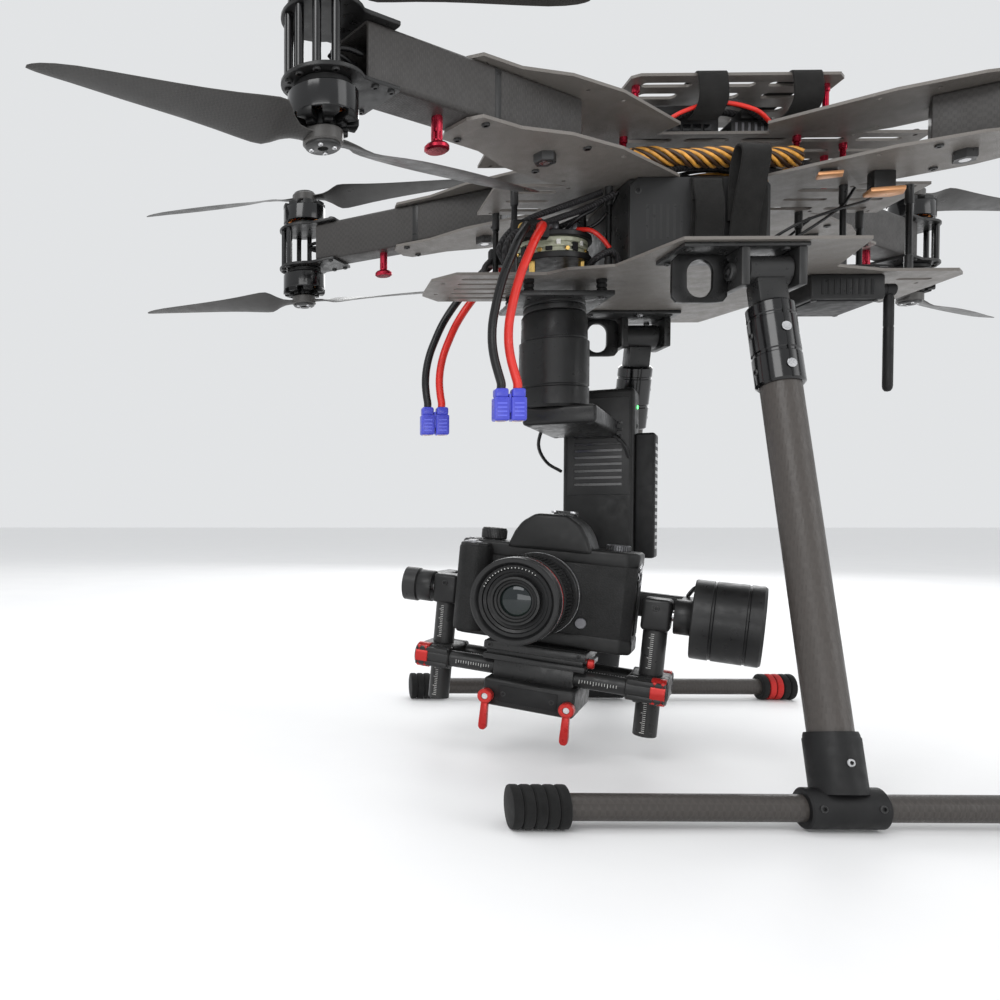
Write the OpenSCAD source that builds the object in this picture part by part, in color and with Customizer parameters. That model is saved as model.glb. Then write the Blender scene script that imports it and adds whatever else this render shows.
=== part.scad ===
/* [Airframe] */
// Motor pair position along the length, from the centre
motor_x = 305; // [300:1:320]
// Motor pair position across the width, from the centre
motor_y = 190; // [186:1:200]
// Arm pivot position along the length
pivot_x = 145; // [140:1:150]
// Arm pivot position across the width
pivot_y = 90; // [86:1:94]
// Width of the rectangular arm tube
arm_w = 30; // [26:1:32]
// Thickness of the frame plates
plate_t = 2.2; // [1.8:0.1:2.4]
// Propeller radius
prop_r = 175; // [150:1:180]
// Motor bell radius
bell_r = 21; // [19:0.5:23]

/* [Landing gear] */
// Length of each skid tube
skid_len = 390; // [340:5:420]
// Distance from the centre to each skid
skid_y = 195; // [190:1:200]
// Skid tube radius
skid_r = 8; // [7:0.5:9]
// Leg tube radius
leg_r = 12.5; // [11:0.5:13]

/* [Gimbal] */
// Yaw axis position along the length
yaw_x = -110; // [-114:1:-106]
// Turn of the gimbal at rest
yaw_rest = -28; // [-32:1:-10]
// Roll angle of the camera cage at rest, right side down
roll_rest = 5; // [-10:1:10]
// Camera cage's distance in front of the yaw axis
cage_y = 20; // [0:1:30]
// Height added under the camera by its riser plate
cam_up = 10; // [0:1:14]
// Height of the pitch axis
pitch_z = 120; // [118:1:122]

/* [Battery leads] */
// Diameter of one silicone lead
lead_d = 6.6; // [5:0.2:7]

/* [Hidden] */
$fn = 48;
// Levels above the ground
z_deck = 371;      // top face of the lower deck
z_arm0 = 441;      // underside of the arm tube
z_arm1 = 477;      // top of the arm tube
z_lp = 440.7;      // top face of the lower arm plate
z_up = 477.3;      // bottom face of the upper arm plate
z_tray = 515;      // bottom face of the top tray
z_mid = (z_arm0 + z_arm1) / 2;
arm_ang = atan2(motor_y - pivot_y, motor_x - pivot_x);
arm_len = sqrt(pow(motor_x - pivot_x, 2) + pow(motor_y - pivot_y, 2));
hinge_y = 105;
hinge_z = 352;
foam_r = 13;
leg_dy = skid_y - hinge_y;
leg_dz = hinge_z - foam_r;
leg_len = sqrt(leg_dy * leg_dy + leg_dz * leg_dz);
leg_tilt = atan2(leg_dy, leg_dz);

// Places children at an arm's pivot, with +X along the arm
module at_arm(sx, sy) {
  translate([sx * pivot_x, sy * pivot_y, 0])
    rotate([0, 0, sx > 0 ? sy * arm_ang : 180 - sy * arm_ang]) children();
}
// Places children on the motor axis, turned only by ang
module at_motor(sx, sy, ang) {
  translate([sx * motor_x, sy * motor_y, 0]) rotate([0, 0, ang]) children();
}
module slot2(l, w) {
  square([l - w, w], center = true);
  for (s = [-1, 1]) translate([s * (l - w) / 2, 0]) circle(d = w);
}
// Plan of an arm plate: spine with four flared lobes
module arm_plan(slots) {
  difference() {
    union() {
      square([330, 62], center = true);
      for (sx = [-1, 1]) for (sy = [-1, 1])
        translate([sx * pivot_x, sy * pivot_y])
          rotate([0, 0, sx > 0 ? sy * arm_ang : 180 - sy * arm_ang]) {
            polygon([[-118, -24], [-40, -34], [8, -31], [44, -20], [78, -19], [84, -10],
              [84, 10], [78, 19], [44, 20], [8, 31], [-40, 34], [-118, 24]]);
            circle(r = 30);
          }
    }
    for (sx = [-1, 1]) for (sy = [-1, 1])
      translate([sx * pivot_x, sy * pivot_y])
        rotate([0, 0, sx > 0 ? sy * arm_ang : 180 - sy * arm_ang]) {
          circle(r = 4.05);
          for (p = [[-16, 23], [-16, -23], [70, 13], [70, -13], [-50, 26], [-50, -26]])
            translate(p) circle(r = 1.6);
        }
    for (x = slots) for (y = [-20, 20]) translate([x, y]) slot2(34, 7);
    for (x = slots) translate([x, 0]) slot2(34, 5);
    for (x = [-155, -108, 108, 155]) for (y = [-27, 27]) translate([x, y]) circle(r = 1.6);
  }
}

module arm_plate_lower() color([0.23, 0.22, 0.21])
  translate([0, 0, z_lp - plate_t]) linear_extrude(plate_t) arm_plan([-132, 88, 132]);

module arm_plate_upper() color([0.25, 0.24, 0.22])
  translate([0, 0, z_up]) linear_extrude(plate_t) arm_plan([-132, -44, 0, 44, 88, 132]);

module lower_deck() color([0.3, 0.29, 0.28])
  translate([0, 0, z_deck - plate_t]) linear_extrude(plate_t) difference() {
    polygon([[-196, -40], [-128, -40], [-116, -52], [-84, -60], [-62, -122], [62, -122], [78, -58],
      [120, -46], [176, -46], [186, -36], [186, 36], [176, 46], [120, 46], [78, 58], [62, 122],
      [-62, 122], [-84, 60], [-116, 52], [-128, 40], [-196, 40], [-212, 22], [-212, -22]]);
    for (y = [-28, -14, 0, 14, 28]) translate([-165, y]) slot2(50, 5);
    for (y = [-24, 24]) for (x = [118, 158]) translate([x, y]) slot2(26, 6);
    for (x = [108, 168]) for (y = [-12, 12]) translate([x, y]) circle(r = 1.6);
    for (x = [-202]) for (y = [-16, 16]) translate([x, y]) circle(r = 1.6);
    for (s = [-1, 1]) translate([-2, s * 84]) slot2(60, 12);
  }

module top_tray() color([0.27, 0.26, 0.25])
  translate([0, 0, z_tray]) linear_extrude(plate_t) difference() {
    polygon([[-66, -40], [-60, -44], [88, -44], [94, -38], [94, 38], [88, 44], [-60, 44], [-66, 38]]);
    for (x = [-35, 13, 61]) for (y = [-30, 30]) translate([x, y]) slot2(38, 7);
    for (x = [-35, 13, 61]) for (y = [-12, 12]) translate([x, y]) slot2(30, 9);
    for (x = [-56, 84]) for (y = [-12, 12]) translate([x, y]) circle(r = 1.6);
  }

function deck_posts() = [[-150, -33], [-150, 33], [-86, -33], [-86, 33], [100, -36], [100, 36], [145, -30], [145, 30]];
function mid_posts() = [[-100, -24], [-100, 24], [-66, -26], [66, -26], [-66, 26], [66, 26], [110, -12], [110, 12]];
function tray_posts() = [[-58, -36], [-58, 36], [86, -36], [86, 36]];
module rod(x, y, z0, z1, r) translate([x, y, z0]) cylinder(r = r, h = z1 - z0);

module standoffs() color([0.16, 0.16, 0.17]) {
  for (p = [[-150, -29], [-150, 29], [-78, -29], [-78, 29], [100, -29], [100, 29], [150, -29], [150, 29]])
    rod(p[0], p[1], z_deck, z_lp - plate_t, 3);
  for (p = mid_posts()) rod(p[0], p[1], z_lp, z_up, 3);
  for (p = [[-58, -28.5], [-58, 28.5], [86, -28.5], [86, 28.5]]) rod(p[0], p[1], z_up + plate_t, z_tray, 3);
  for (sx = [-1, 1]) for (sy = [-1, 1]) translate([sx * pivot_x, sy * pivot_y, 0]) {
    rod(0, 0, z_lp - plate_t - 6, z_up + plate_t + 6, 4);
    difference() { rod(0, 0, z_lp - plate_t - 6, z_lp - plate_t, 8); rod(0, 0, z_lp - plate_t - 7, z_lp, 4); }
    difference() { rod(0, 0, z_up + plate_t, z_up + plate_t + 6, 8); rod(0, 0, z_up, z_up + plate_t + 7, 4); }
  }
}

module power_board() color([0.6, 0.62, 0.5]) translate([-114, 0, 0]) {
  for (a = [45, 135, 225, 315]) rotate([0, 0, a]) translate([27, 0, z_deck]) cylinder(r = 2.5, h = 14);
  translate([0, 0, z_deck + 14]) cylinder(r = 32, h = 5);
  translate([0, 0, z_deck + 19]) cylinder(r = 29, h = 12);
  translate([0, 0, z_deck + 31]) cylinder(r = 32, h = 4);
  for (a = [20:40:340]) rotate([0, 0, a]) translate([24, 0, z_deck + 35]) cylinder(r = 4, h = 8);
  for (s = [-1, 1]) translate([-40, s * 36 - 4, 397]) cube([28, 8, 14]);
  for (s = [-1, 1]) translate([-24, s > 0 ? 20 : -34, z_deck + 31]) cube([12, 14, 4]);
}

module electronics_box() color([0.12, 0.12, 0.13]) {
  difference() {
    translate([-70, -50, z_deck]) cube([104, 100, 67]);
    translate([-67.5, -47.5, z_deck + 2.5]) cube([99, 95, 62]);
  }
  translate([-50, -30, z_deck + 2.5]) cube([64, 60, 24]);
}

module wire_loom() color([0.75, 0.45, 0.12])
  translate([-92, -6, z_lp + 10.3]) rotate([0, 90, 0]) cylinder(r = 10, h = 146);

module strap_band(x) for (s = [-1, 1])
  translate([x, s > 0 ? 50 : -52.4, z_deck + 1]) cube([24, 2.4, 65]);
module battery_straps() color([0.08, 0.08, 0.08]) { strap_band(-26); strap_band(6); }

module receiver_box() color([0.1, 0.1, 0.1]) {
  translate([70, -40, 350]) cube([56, 58, z_deck - plate_t - 350]);
  translate([126, -30, 359]) rotate([0, 90, 0]) cylinder(r = 2.5, h = 5);
  translate([96, -26, z_deck]) cube([46, 20, 9]);
}
module stick_antenna() color([0.14, 0.14, 0.14]) difference() {
  union() {
    translate([128, -30, 359]) rotate([0, 90, 0]) cylinder(r = 4.6, h = 11);
    translate([135, -30, 285]) cylinder(r = 3.6, h = 74);
    translate([135, -30, 285]) sphere(r = 3.6);
  }
  translate([120, -30, 359]) rotate([0, 90, 0]) cylinder(r = 2.55, h = 12);
}

module leg_bracket(s) {
  // top flange, side plate with an oval window, two ears and the hinge pin
  translate([-60, s > 0 ? 72 : -118, z_deck - plate_t - 3]) cube([84, 46, 3]);
  difference() {
    translate([-60, s > 0 ? 96 : -100, z_deck - plate_t - 36]) cube([38, 4, 33]);
    translate([-41, 0, z_deck - plate_t - 20]) rotate([90, 0, 0]) linear_extrude(260, center = true) union() {
      square([18, 8], center = true);
      for (t = [-1, 1]) translate([0, t * 4]) circle(r = 9);
    }
  }
  for (x = [-22, 16]) difference() {
    translate([x, s > 0 ? 88 : -118, hinge_z - 12]) cube([6, 30, z_deck - plate_t - 3 - hinge_z + 12]);
    translate([x - 1, s * hinge_y, hinge_z]) rotate([0, 90, 0]) cylinder(r = 4, h = 8);
  }
  translate([-24, s * hinge_y, hinge_z]) rotate([0, 90, 0]) cylinder(r = 4, h = 48);
}
module leg_brackets() color([0.13, 0.13, 0.13]) { leg_bracket(-1); leg_bracket(1); }

module leg(s) color([0.2, 0.19, 0.18])
  translate([0, s * hinge_y, hinge_z]) rotate([s * leg_tilt, 0, 0]) difference() {
    union() {
      translate([-15, 0, 0]) rotate([0, 90, 0]) cylinder(r = 10.5, h = 30);
      translate([-10, -8, -34]) cube([20, 16, 30]);
      translate([0, 0, -84]) cylinder(r = 15, h = 58);
      translate([0, 0, -leg_len + 14]) cylinder(r = leg_r, h = leg_len - 90);
      translate([0, 0, -leg_len + 10]) cylinder(r = 15.5, h = 34);
      translate([-23, 0, -leg_len]) rotate([0, 90, 0]) cylinder(r = 12, h = 46);
    }
    translate([-16, 0, 0]) rotate([0, 90, 0]) cylinder(r = 4.06, h = 32);
    translate([-24, 0, -leg_len]) rotate([0, 90, 0]) cylinder(r = skid_r + 0.03, h = 48);
  }
module leg_left() leg(-1);
module leg_right() leg(1);

module skid(s) color([0.17, 0.17, 0.17]) translate([0, s * skid_y, foam_r]) rotate([0, 90, 0]) {
  translate([0, 0, -skid_len / 2 + 3]) cylinder(r = skid_r, h = skid_len - 6);
  for (m = [0, 1]) mirror([0, 0, m]) {
    for (i = [0:4]) translate([0, 0, skid_len / 2 - 34 + i * 7]) difference() {
      cylinder(r = foam_r, h = 6);
      if (i < 4) translate([0, 0, -1]) cylinder(r = skid_r, h = 8);
      else translate([0, 0, -1]) cylinder(r = skid_r, h = 4);
    }
    for (i = [0:3]) translate([0, 0, skid_len / 2 - 28 + i * 7]) difference() {
      cylinder(r = foam_r - 2, h = 1);
      translate([0, 0, -1]) cylinder(r = skid_r, h = 3);
    }
  }
}
module skid_left() skid(-1);
module skid_right() skid(1);

// Arm tube: hollow, with a solid root block bored for the pivot bolt
module arm(sx, sy) color([0.22, 0.22, 0.21]) at_arm(sx, sy) difference() {
  translate([-20, -arm_w / 2, z_arm0]) cube([arm_len - 2, arm_w, z_arm1 - z_arm0]);
  translate([20, -arm_w / 2 + 2, z_arm0 + 2]) cube([arm_len, arm_w - 4, z_arm1 - z_arm0 - 4]);
  translate([0, 0, z_arm0 - 1]) cylinder(r = 4.06, h = 40);
  translate([100, 0, z_arm0 - 1]) cylinder(r = 3.56, h = 40);
}
module arm_fl() arm(-1, -1);
module arm_fr() arm(-1, 1);
module arm_rl() arm(1, -1);
module arm_rr() arm(1, 1);

// Red pull pin under each arm
module lock_pin(sx, sy) color([0.6, 0.05, 0.12]) at_arm(sx, sy) translate([100, 0, 0]) {
  translate([0, 0, 424]) cylinder(r = 3.5, h = 28);
  translate([0, 0, 419]) cylinder(r = 8, h = 5);
}
module lock_pin_fl() lock_pin(-1, -1);
module lock_pin_fr() lock_pin(-1, 1);
module lock_pin_rl() lock_pin(1, -1);
module lock_pin_rr() lock_pin(1, 1);

// Two round plates, posts and the two stator bases of a coaxial pair
module motor_mount(sx, sy) color([0.1, 0.1, 0.1])
  at_arm(sx, sy) translate([arm_len, 0, 0]) difference() {
    union() {
      for (z = [z_arm1, z_arm0 - 2.5]) translate([0, 0, z]) linear_extrude(2.5) union() {
        circle(r = 25);
        translate([-44, -19]) square([44, 38]);
      }
      for (a = [-75, -45, -15, 15, 45, 75]) rotate([0, 0, a]) translate([21, 0, z_arm0 - 0.5]) cylinder(r = 2.6, h = z_arm1 - z_arm0 + 1);
      translate([0, 0, z_arm1 + 2]) cylinder(r = 17, h = 5.5);
      translate([0, 0, z_arm0 - 7.5]) cylinder(r = 17, h = 5.5);
    }
    translate([0, 0, z_arm0 - 20]) cylinder(r = 3.06, h = 80);
  }
module motor_mount_fl() motor_mount(-1, -1);
module motor_mount_fr() motor_mount(-1, 1);
module motor_mount_rl() motor_mount(1, -1);
module motor_mount_rr() motor_mount(1, 1);

// Bell with its shaft, standing on z = 0
module bell() {
  translate([0, 0, 0.4]) cylinder(r = bell_r, h = 15);
  translate([0, 0, 15]) cylinder(r = bell_r - 1.6, h = 1.8);
  translate([0, 0, 16.8]) cylinder(r1 = bell_r - 0.6, r2 = bell_r - 5, h = 5.2);
  translate([0, 0, -6]) cylinder(r = 3, h = 6.4);
}
module bell_up(sx, sy) color([0.07, 0.07, 0.07]) at_motor(sx, sy, 0) translate([0, 0, z_arm1 + 7.5]) bell();
module bell_low(sx, sy) color([0.07, 0.07, 0.07]) at_motor(sx, sy, 0) translate([0, 0, z_arm0 - 7.5]) mirror([0, 0, 1]) bell();
module bell_up_fl() bell_up(-1, -1);
module bell_up_fr() bell_up(-1, 1);
module bell_up_rl() bell_up(1, -1);
module bell_up_rr() bell_up(1, 1);
module bell_low_fl() bell_low(-1, -1);
module bell_low_fr() bell_low(-1, 1);
module bell_low_rl() bell_low(1, -1);
module bell_low_rr() bell_low(1, 1);

// Blade sections: fraction of radius, chord, twist, sweep of the centre line
blade = [[0.06, 13, 8, 0], [0.12, 16, 26, 1], [0.2, 30, 25, 3], [0.3, 33, 20, 3], [0.45, 29, 15, 2],
  [0.6, 25, 12, 1], [0.75, 20, 10, 0], [0.88, 15, 9, -1], [0.96, 9, 8, -3], [1, 4, 8, -5]];
function section(b) = let (x = b[0] * prop_r, c = b[1], t = max(1.2, 4.2 - 3.2 * b[0]))
  [for (p = [[-0.5, 0.1], [-0.2, 0.75], [0.15, 0.6], [0.5, 0.1], [0.5, -0.1], [0.15, -0.25], [-0.2, -0.4], [-0.5, -0.1]])
    [x, b[3] + p[0] * c * cos(b[2]) - p[1] * t * sin(b[2]) , p[0] * c * sin(b[2]) * -1 + p[1] * t * cos(b[2])]];
module blade_solid() {
  n = 8; m = len(blade);
  pts = [for (b = blade) each section(b)];
  sides = [for (i = [0:m - 2]) for (j = [0:n - 1]) let (k = (j + 1) % n)
    each [[i * n + j, i * n + k, (i + 1) * n + k], [i * n + j, (i + 1) * n + k, (i + 1) * n + j]]];
  caps = [[for (j = [n - 1:-1:0]) j], [for (j = [0:n - 1]) (m - 1) * n + j]];
  polyhedron(points = pts, faces = concat(sides, caps));
}
// Two-blade propeller, hub centred on z = 0
module prop() {
  difference() {
    cylinder(r = 12, h = 8, center = true);
    cylinder(r = 3, h = 20, center = true);
  }
  for (a = [0, 180]) rotate([0, 0, a]) blade_solid();
}
module prop_up(sx, sy, a) color([0.33, 0.32, 0.31]) at_motor(sx, sy, a) translate([0, 0, z_arm1 + 33.5]) prop();
module prop_low(sx, sy, a) color([0.33, 0.32, 0.31]) at_motor(sx, sy, a) translate([0, 0, z_arm0 - 33.5]) mirror([0, 0, 1]) prop();
module prop_up_fl() prop_up(-1, -1, 15);
module prop_up_fr() prop_up(-1, 1, -15);
module prop_up_rl() prop_up(1, -1, -15);
module prop_up_rr() prop_up(1, 1, 15);
module prop_low_fl() prop_low(-1, -1, 31);
module prop_low_fr() prop_low(-1, 1, -15);
module prop_low_rl() prop_low(1, -1, -15);
module prop_low_rr() prop_low(1, 1, 31);

// Gimbal frame: origin on the yaw axis, lens towards -Y
module at_gimbal() translate([yaw_x, 0, 0]) rotate([0, 0, yaw_rest]) children();
module at_cage() at_gimbal() translate([0, -cage_y, pitch_z]) rotate([0, roll_rest, 0]) translate([0, 0, -pitch_z]) children();
module at_camera() at_cage() translate([0, 0, cam_up]) children();

module gimbal_mount() color([0.11, 0.11, 0.11]) translate([yaw_x, 0, 0]) {
  difference() {
    union() {
      translate([-36, -34, 355]) cube([72, 68, 4]);
      translate([0, 0, 348]) cylinder(r = 24, h = 7.5);
    }
    translate([0, 0, 347]) cylinder(r = 5.06, h = 14);
  }
  for (x = [-28, 28]) for (y = [-27, 27]) translate([x, y, 358.5]) cylinder(r = 4, h = z_deck - plate_t - 358.5);
}

module yaw_arm() color([0.09, 0.09, 0.09]) at_gimbal() {
  translate([0, 0, 272]) cylinder(r = 27, h = 75.6);
  translate([0, 0, 347]) cylinder(r = 5, h = 9.6);
  translate([-20, -22, 258]) cube([56, 121, 14.5]);
  difference() {
    translate([-10, 98, 96]) cube([60, 34, 204]);
    translate([0, 97, pitch_z]) rotate([-90, 0, 0]) cylinder(r = 5.06, h = 20);
  }
  translate([49.5, 102, 150]) cube([17, 26, 110]);
  difference() {
    translate([0, 80 - cage_y, pitch_z]) rotate([-90, 0, 0]) cylinder(r = 26, h = 18 + cage_y);
    translate([0, 79 - cage_y, pitch_z]) rotate([-90, 0, 0]) cylinder(r = 5.06, h = 20 + cage_y);
  }
}

module roll_arm() color([0.1, 0.1, 0.1]) at_cage() {
  translate([0, 61, pitch_z]) rotate([-90, 0, 0]) cylinder(r = 24, h = 18.6);
  translate([0, 79.6, pitch_z]) rotate([-90, 0, 0]) cylinder(r = 5, h = 22 + cage_y);
  translate([-104, 61, pitch_z - 10]) cube([208, 11, 20]);
  for (x = [-104, 92]) difference() {
    translate([x, -13, pitch_z - 10]) cube([12, 74, 20]);
    translate([x - 1, 0, pitch_z]) rotate([0, 90, 0]) cylinder(r = 4.06, h = 14);
  }
  difference() {
    translate([104, 0, pitch_z]) rotate([0, 90, 0]) cylinder(r = 29, h = 46);
    translate([103, 0, pitch_z]) rotate([0, 90, 0]) cylinder(r = 4.06, h = 10);
  }
  translate([-116, 0, pitch_z]) rotate([0, 90, 0]) cylinder(r = 14, h = 12.5);
}

module cradle() color([0.13, 0.13, 0.13]) at_cage() {
  for (s = [-1, 1]) {
    translate([s * 80, 0, 28]) cylinder(r = 8.5, h = 82);
    translate([s * 80 - 10, -11, 110]) cube([20, 22, 22]);
    translate([s > 0 ? 90 : -103, 0, pitch_z]) rotate([0, 90, 0]) cylinder(r = 4, h = 13);
    translate([s > 0 ? 66 : -94, -31, 57]) difference() {
      cube([28, 62, 18]);
      translate([14, 31, -1]) cylinder(r = 8.5, h = 20);
      for (y = [9, 53]) translate([s > 0 ? -1 : 10, y, 9]) rotate([0, 90, 0]) cylinder(r = 6.5, h = 19);
    }
  }
  for (y = [-22, 22]) translate([-84, y, 66]) rotate([0, 90, 0]) cylinder(r = 6.5, h = 168);
  translate([-38, -34, 72.5]) cube([76, 66, 5.5 + cam_up]);
  translate([-34, -40, 38]) cube([68, 72, 21.5]);
  for (s = [-1, 1]) translate([s * 30, -40, 46]) rotate([90, 0, 0]) cylinder(r = 2.5, h = 8);
}
module cradle_lever(s) color([0.75, 0.08, 0.08]) at_cage() translate([s * 30, 0, 46]) difference() {
  union() {
    translate([0, -41, 0]) rotate([90, 0, 0]) cylinder(r = 5.5, h = 8);
    translate([-3, -48.5, -26]) cube([6, 7, 24]);
  }
  translate([0, -40, 0]) rotate([90, 0, 0]) cylinder(r = 2.55, h = 10);
}
module cradle_lever_left() cradle_lever(-1);
module cradle_lever_right() cradle_lever(1);

module camera_body() color([0.08, 0.08, 0.08]) at_camera() {
  // Body shell with its grip, finder hump and shoe
  difference() {
    union() {
      translate([-66, -22, 78]) cube([132, 46, 76]);
      translate([-66, -40, 82]) cube([26, 20, 68]);
      translate([0, 20, 0]) rotate([90, 0, 0]) linear_extrude(44)
        polygon([[-30, 150], [34, 150], [26, 172], [14, 178], [-10, 178], [-22, 172]]);
      translate([-6, 14, 177]) cube([18, 20, 4]);
    }
    translate([-46, 0, 148]) cylinder(r = 2.06, h = 10);
    translate([-54, -30, 146]) cylinder(r = 4.56, h = 10);
  }
  // Removable lens, a separate solid seated on the front face
  difference() {
    union() {
      translate([-4, -22.1, 116]) rotate([90, 0, 0]) cylinder(r = 32, h = 11.9);
      translate([-4, -34, 116]) rotate([90, 0, 0]) cylinder(r = 27, h = 46);
      translate([-4, -80, 116]) rotate([90, 0, 0]) cylinder(r = 31, h = 18);
    }
    translate([-4, -88, 116]) rotate([90, 0, 0]) cylinder(r = 17, h = 12);
  }
}
module focus_ring() color([0.1, 0.1, 0.1]) at_camera() translate([-4, 0, 116]) difference() {
  translate([0, -48, 0]) rotate([90, 0, 0]) cylinder(r = 31.5, h = 28);
  translate([0, -47, 0]) rotate([90, 0, 0]) cylinder(r = 27.06, h = 30);
}
module mode_dial() color([0.1, 0.1, 0.1]) at_camera() translate([-46, 0, 0]) {
  translate([0, 0, 154.4]) cylinder(r = 10, h = 9);
  translate([0, 0, 148.5]) cylinder(r = 2, h = 6);
}
module shutter_button() color([0.3, 0.32, 0.34]) at_camera() translate([-54, -30, 148]) cylinder(r = 4.5, h = 5.5);

// Lead routes, from the power terminal to the plug
route_left = [[-146, -40, 404], [-146, -45, 404], [-147, -51, 402], [-150, -56, 397], [-155, -60, 389],
  [-160, -62, 378], [-165, -63, 366], [-169, -63, 353], [-172, -63, 340], [-174, -62, 327],
  [-174, -61, 314], [-172, -60, 302], [-169, -60, 291], [-167, -60, 284], [-167, -60, 280]];
route_right = [[-146, 40, 404], [-146, 45, 404], [-149, 51, 402], [-155, 55, 397], [-163, 57, 389],
  [-172, 58, 378], [-181, 58, 366], [-189, 57, 353], [-195, 56, 340], [-200, 55, 327],
  [-203, 54, 314], [-204, 53, 302], [-203, 53, 291], [-202, 53, 285], [-202, 53, 281]];
function unit(v) = v / norm(v);
function ring(p, t, r, n) = let (u = unit(cross(t, [1, 0.2, 0])), w = cross(t, u))
  [for (k = [0:n - 1]) p + r * (cos(360 * k / n) * u + sin(360 * k / n) * w)];
module lead(route, dx) {
  n = 8; m = len(route);
  pts = [for (i = [0:m - 1]) let (t = unit(i == 0 ? route[1] - route[0] : i == m - 1 ? [0, 0, -1] : route[i + 1] - route[i - 1]))
    each ring(route[i] + [dx, 0, 0], t, lead_d / 2, n)];
  sides = [for (i = [0:m - 2]) for (j = [0:n - 1]) let (k = (j + 1) % n)
    each [[i * n + j, (i + 1) * n + k, i * n + k], [i * n + j, (i + 1) * n + j, (i + 1) * n + k]]];
  caps = [[for (j = [0:n - 1]) j], [for (j = [n - 1:-1:0]) (m - 1) * n + j]];
  polyhedron(points = pts, faces = concat(sides, caps));
}
module lead_left_black() color([0.06, 0.06, 0.06]) lead(route_left, 0);
module lead_left_red() color([0.85, 0.12, 0.08]) lead(route_left, 12);
module lead_right_black() color([0.06, 0.06, 0.06]) lead(route_right, 0);
module lead_right_red() color([0.85, 0.12, 0.08]) lead(route_right, 12);
module plug(x, y, z) color([0.12, 0.14, 0.6]) translate([x - 6, y - 5.5, z - 24]) {
  cube([11.5, 11, 24]);
  translate([12.5, 0, 0]) cube([11.5, 11, 24]);
  translate([11.5, 2, 6]) cube([1, 7, 14]);
}
module plug_left() plug(-167, -60, 280);
module plug_right() plug(-202, 53, 281);

lower_deck();
arm_plate_lower();
arm_plate_upper();
top_tray();
standoffs();
power_board();
electronics_box();
wire_loom();
battery_straps();
receiver_box();
leg_brackets();
stick_antenna();
arm_fl();
arm_fr();
arm_rl();
arm_rr();
motor_mount_fl();
motor_mount_fr();
motor_mount_rl();
motor_mount_rr();
bell_up_fl();
bell_up_fr();
bell_up_rl();
bell_up_rr();
bell_low_fl();
bell_low_fr();
bell_low_rl();
bell_low_rr();
prop_up_fl();
prop_up_fr();
prop_up_rl();
prop_up_rr();
prop_low_fl();
prop_low_fr();
prop_low_rl();
prop_low_rr();
lock_pin_fl();
lock_pin_fr();
lock_pin_rl();
lock_pin_rr();
leg_left();
leg_right();
skid_left();
skid_right();
gimbal_mount();
yaw_arm();
roll_arm();
cradle();
camera_body();
focus_ring();
mode_dial();
shutter_button();
cradle_lever_left();
cradle_lever_right();
lead_left_black();
lead_left_red();
lead_right_black();
lead_right_red();
plug_left();
plug_right();
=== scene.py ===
import bpy, bmesh, math, random
from mathutils import Vector, Matrix


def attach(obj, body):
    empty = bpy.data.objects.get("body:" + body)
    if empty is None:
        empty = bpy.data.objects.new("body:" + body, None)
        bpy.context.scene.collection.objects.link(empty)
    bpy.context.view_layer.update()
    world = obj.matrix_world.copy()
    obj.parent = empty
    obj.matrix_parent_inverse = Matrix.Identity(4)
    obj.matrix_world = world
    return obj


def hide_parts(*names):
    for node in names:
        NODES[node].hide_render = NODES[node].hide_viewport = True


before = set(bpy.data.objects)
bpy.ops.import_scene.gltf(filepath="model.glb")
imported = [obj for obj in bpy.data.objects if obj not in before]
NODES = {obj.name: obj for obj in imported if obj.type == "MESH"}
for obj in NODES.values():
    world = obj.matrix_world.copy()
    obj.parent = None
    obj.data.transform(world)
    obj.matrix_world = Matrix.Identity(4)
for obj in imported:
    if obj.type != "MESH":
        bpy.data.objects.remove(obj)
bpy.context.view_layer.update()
K = 0.001
rnd = random.Random(7)

# ------------------------------------------------------------------ camera
cam_data = bpy.data.cameras.new("view")
cam = bpy.data.objects.new("view", cam_data)
bpy.context.scene.collection.objects.link(cam)
cam.location = (-0.3313, -0.7169, 0.1808)
cam.rotation_euler = (math.pi / 2 - 0.0225, 0, 0.0169)
cam_data.sensor_width = 36
cam_data.lens = 883.3 * 36 / 1000
cam_data.shift_x = 0.2366
cam_data.shift_y = 0.043
cam_data.clip_start = 0.01
bpy.context.scene.camera = cam

# ------------------------------------------------------------------ materials
def nodes_of(name):
    m = bpy.data.materials.new(name)
    m.use_nodes = True
    nt = m.node_tree
    return m, nt, nt.nodes["Principled BSDF"], nt.nodes.new("ShaderNodeTexCoord")

def mixc(nt, fac, a, b):
    n = nt.nodes.new("ShaderNodeMix")
    n.data_type = "RGBA"
    nt.links.new(fac, n.inputs[0])
    for s, v in ((6, a), (7, b)):
        if isinstance(v, (tuple, list)):
            n.inputs[s].default_value = (*v[:3], 1)
        else:
            nt.links.new(v, n.inputs[s])
    return n.outputs[2]

def noise(nt, tc, scale, detail=4, rough=0.55, dist=0.0):
    n = nt.nodes.new("ShaderNodeTexNoise")
    n.inputs["Scale"].default_value = scale
    n.inputs["Detail"].default_value = detail
    n.inputs["Roughness"].default_value = rough
    n.inputs["Distortion"].default_value = dist
    nt.links.new(tc.outputs["Object"], n.inputs["Vector"])
    return n.outputs["Fac"]

def ramp(nt, fac, lo, hi, a=0.0, b=1.0):
    n = nt.nodes.new("ShaderNodeMapRange")
    for k, v in zip(range(1, 5), (lo, hi, a, b)):
        n.inputs[k].default_value = v
    nt.links.new(fac, n.inputs[0])
    return n.outputs[0]

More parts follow.
